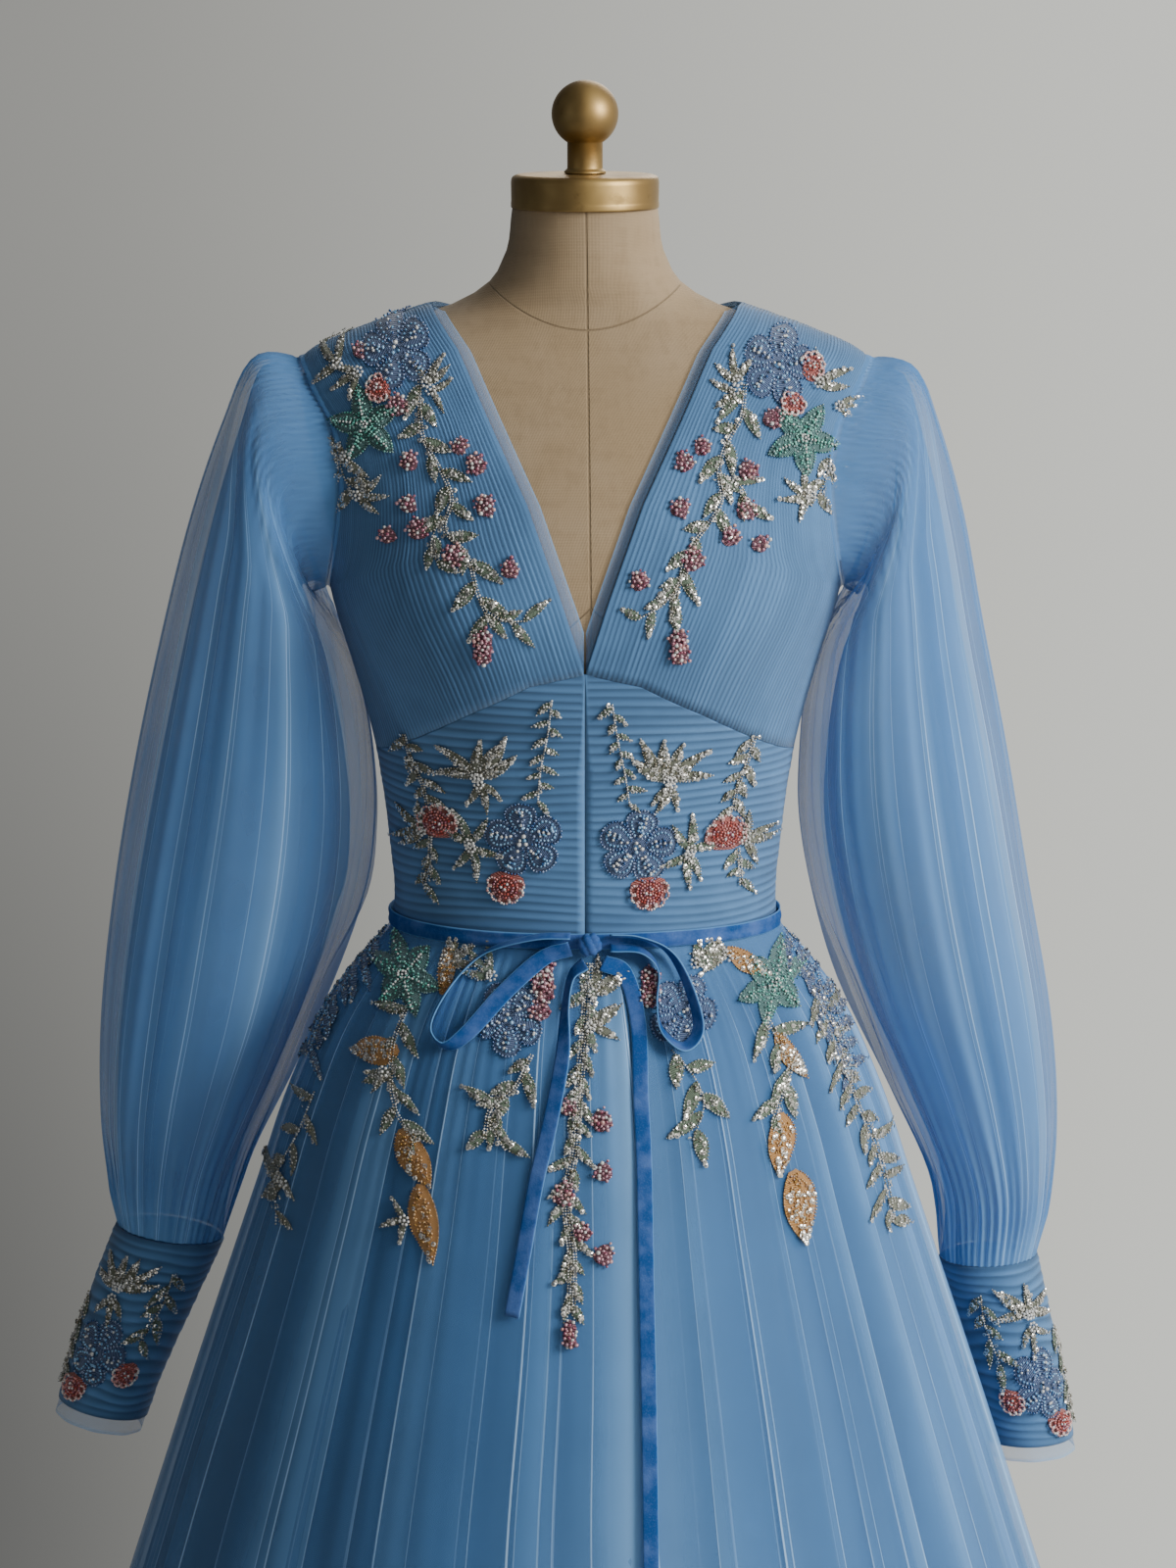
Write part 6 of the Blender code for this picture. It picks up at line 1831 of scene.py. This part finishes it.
def build_room():
    """World light: dim at the left, bright at the right, darker towards the floor."""
    world = bpy.data.worlds.new("studio")
    bpy.context.scene.world = world
    world.use_nodes = True
    tree = world.node_tree
    back = tree.nodes["Background"]
    way = tree.nodes.new("ShaderNodeTexCoord")
    axes = tree.nodes.new("ShaderNodeSeparateXYZ")
    tree.links.new(way.outputs["Generated"], axes.inputs[0])
    # how far a view direction lies to the right, up and straight ahead
    shares = []
    for axis, low, high in ((0, -0.15, 0.17), (2, -0.31, -0.02), (1, 0.80, 0.94)):
        step = tree.nodes.new("ShaderNodeMapRange")
        step.interpolation_type = "SMOOTHSTEP"
        step.inputs["From Min"].default_value = low
        step.inputs["From Max"].default_value = high
        tree.links.new(axes.outputs[axis], step.inputs["Value"])
        shares.append(step.outputs["Result"])

    def mixed(share, low, high):
        mix = tree.nodes.new("ShaderNodeMix")
        mix.data_type = "RGBA"
        tree.links.new(share, mix.inputs[0])
        for socket, value in ((mix.inputs[6], low), (mix.inputs[7], high)):
            if isinstance(value, tuple):
                socket.default_value = value + (1.0,)
            else:
                tree.links.new(value, socket)
        return mix.outputs[2]

    sides = (mixed(shares[1], (0.115, 0.115, 0.112), (0.305, 0.303, 0.286)),
             mixed(shares[1], (0.880, 0.890, 0.830), (0.850, 0.855, 0.800)))
    ahead = mixed(shares[0], *sides)
    round_about = mixed(shares[0], (0.080, 0.085, 0.092), (0.780, 0.770, 0.720))
    tree.links.new(mixed(shares[2], round_about, ahead), back.inputs["Color"])
    back.inputs["Strength"].default_value = 1.0


def build_stage():
    """Pale floor, soft lights and the camera at the photograph's height and angle."""
    stuff = Stuff()
    a = np.linspace(0, math.tau, 96, endpoint=False)
    r = np.linspace(FLOOR_RADIUS, 0.2, 8)[:, None]
    grid = np.stack([r * np.cos(a), r * np.sin(a), FLOOR_Z + 0 * r + 0 * a[None, :]], -1)
    stuff.sheet(grid, closed=True, flip=True)
    stuff.fan((0, 0, FLOOR_Z), grid[-1])
    floor = stuff.build("studio_floor", [finish("floor_paint")])
    build_room()
    for name, place, aim, size, share, color in LIGHTS:
        light = bpy.data.lights.new(name, "AREA")
        light.shape = "DISK"
        light.size, light.color = size, color
        light.energy = bpy.context.scene.gown_sizes.key_power * share
        obj = bpy.data.objects.new(name, light)
        bpy.context.scene.collection.objects.link(obj)
        obj.location = place
        line = Vector((0.0, 0.0, aim)) - Vector(place)
        obj.rotation_euler = line.to_track_quat("-Z", "Y").to_euler()
    camera = bpy.data.cameras.new("photo_camera")
    camera.sensor_width, camera.lens = SENSOR, LENS
    camera.clip_start, camera.clip_end = 0.05, 60.0
    eye = bpy.data.objects.new("photo_camera", camera)
    eye.location = (CAMERA_X, -CAMERA_REACH * math.cos(CAMERA_TILT),
                    CAMERA_AIM_Z + CAMERA_REACH * math.sin(CAMERA_TILT))
    eye.rotation_euler = (math.pi / 2 - CAMERA_TILT, 0.0, 0.0)
    bpy.context.scene.collection.objects.link(eye)
    bpy.context.scene.camera = eye


# Settings, operators and panel

def count(name, about, default, least, most):
    return IntProperty(name=name, description=about, default=default, min=least, max=most)


def colour(name, about, default):
    return FloatVectorProperty(name=name, description=about, subtype="COLOR", default=default,
                               min=0.0, max=1.0)


class GownSizes(PropertyGroup):
    """Counts and strengths a user would change."""

    bodice_pleats: count("Bodice pleats", "Pressed pleats in each front bodice panel", 48, 12, 60)
    midriff_pleats: count("Midriff pleats", "Level pleats in the front midriff", 31, 10, 36)
    sleeve_folds: count("Sleeve folds", "Long folds round each sleeve", 10, 6, 32)
    cuff_pleats: count("Cuff pleats", "Level pleats of each cuff", 17, 6, 24)
    key_power: FloatProperty(name="Key light", description="Power of the large light at the right",
                             default=132.0, min=1.0, unit="POWER")


class GownColours(PropertyGroup):
    """Main colours of the gown and the form."""

    tulle: colour("Tulle", "Colour of one layer of tulle", (0.085, 0.270, 0.620))
    haze: colour("Haze", "Colour of tulle lying doubled", (0.290, 0.570, 0.950))
    lining: colour("Lining", "Colour of the lining", (0.038, 0.096, 0.212))
    velvet: colour("Velvet", "Colour of the velvet ribbon", (0.004, 0.085, 0.340))
    linen: colour("Linen", "Colour of the form's linen", (0.380, 0.275, 0.162))


class GOWN_OT_form(Operator):
    """Builds the linen form with its cap, ball, pole and base"""

    bl_idname = "gown.form"
    bl_label = "Dress form and stand"

    def execute(self, context):
        build_form()
        build_stand()
        return {"FINISHED"}


class GOWN_OT_bodice(Operator):
    """Builds the pleated bodice, its net edge and the midriff"""

    bl_idname = "gown.bodice"
    bl_label = "Bodice and midriff"

    def execute(self, context):
        build_bodice()
        build_neck_edge()
        build_midriff()
        return {"FINISHED"}


class GOWN_OT_skirt(Operator):
    """Builds the lining and the two nets of the skirt"""

    bl_idname = "gown.skirt"
    bl_label = "Skirt"

    def execute(self, context):
        build_skirt()
        return {"FINISHED"}


class GOWN_OT_sleeves(Operator):
    """Builds both sleeves and both cuffs"""

    bl_idname = "gown.sleeves"
    bl_label = "Sleeves and cuffs"

    def execute(self, context):
        build_cuffs()
        build_sleeves()
        return {"FINISHED"}


class GOWN_OT_ribbon(Operator):
    """Builds the velvet belt and its bow"""

    bl_idname = "gown.ribbon"
    bl_label = "Belt and bow"

    def execute(self, context):
        build_belt()
        build_bow()
        return {"FINISHED"}


class GOWN_OT_beads(Operator):
    """Lays the beadwork on the bodice, midriff, skirt and cuffs"""

    bl_idname = "gown.beads"
    bl_label = "Beadwork"

    def execute(self, context):
        build_bodice_beads()
        build_midriff_beads()
        build_skirt_beads()
        build_cuff_beads()
        return {"FINISHED"}


class GOWN_OT_stage(Operator):
    """Builds the floor, the lights and the camera"""

    bl_idname = "gown.stage"
    bl_label = "Studio"

    def execute(self, context):
        build_stage()
        return {"FINISHED"}


OPERATORS = (GOWN_OT_form, GOWN_OT_bodice, GOWN_OT_skirt, GOWN_OT_sleeves, GOWN_OT_ribbon,
             GOWN_OT_beads, GOWN_OT_stage)


class GOWN_PT_panel(Panel):
    """Lists the gown's operators and settings"""

    bl_idname = "GOWN_PT_panel"
    bl_label = "A-line gown"
    bl_space_type = "VIEW_3D"
    bl_region_type = "UI"
    bl_category = "Gown"

    def draw(self, context):
        for settings in (context.scene.gown_sizes, context.scene.gown_colours):
            for key in settings.__annotations__:
                self.layout.prop(settings, key)
        for operator in OPERATORS:
            self.layout.operator(operator.bl_idname)


CLASSES = (GownSizes, GownColours) + OPERATORS + (GOWN_PT_panel,)


def register():
    for cls in CLASSES:
        bpy.utils.register_class(cls)
    bpy.types.Scene.gown_sizes = PointerProperty(type=GownSizes)
    bpy.types.Scene.gown_colours = PointerProperty(type=GownColours)


def unregister():
    del bpy.types.Scene.gown_sizes
    del bpy.types.Scene.gown_colours
    for cls in reversed(CLASSES):
        bpy.utils.unregister_class(cls)


def main():
    register()
    bpy.ops.gown.form()
    bpy.ops.gown.bodice()
    bpy.ops.gown.skirt()
    bpy.ops.gown.sleeves()
    bpy.ops.gown.ribbon()
    bpy.ops.gown.beads()
    bpy.ops.gown.stage()
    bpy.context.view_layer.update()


if __name__ == "__main__":
    main()
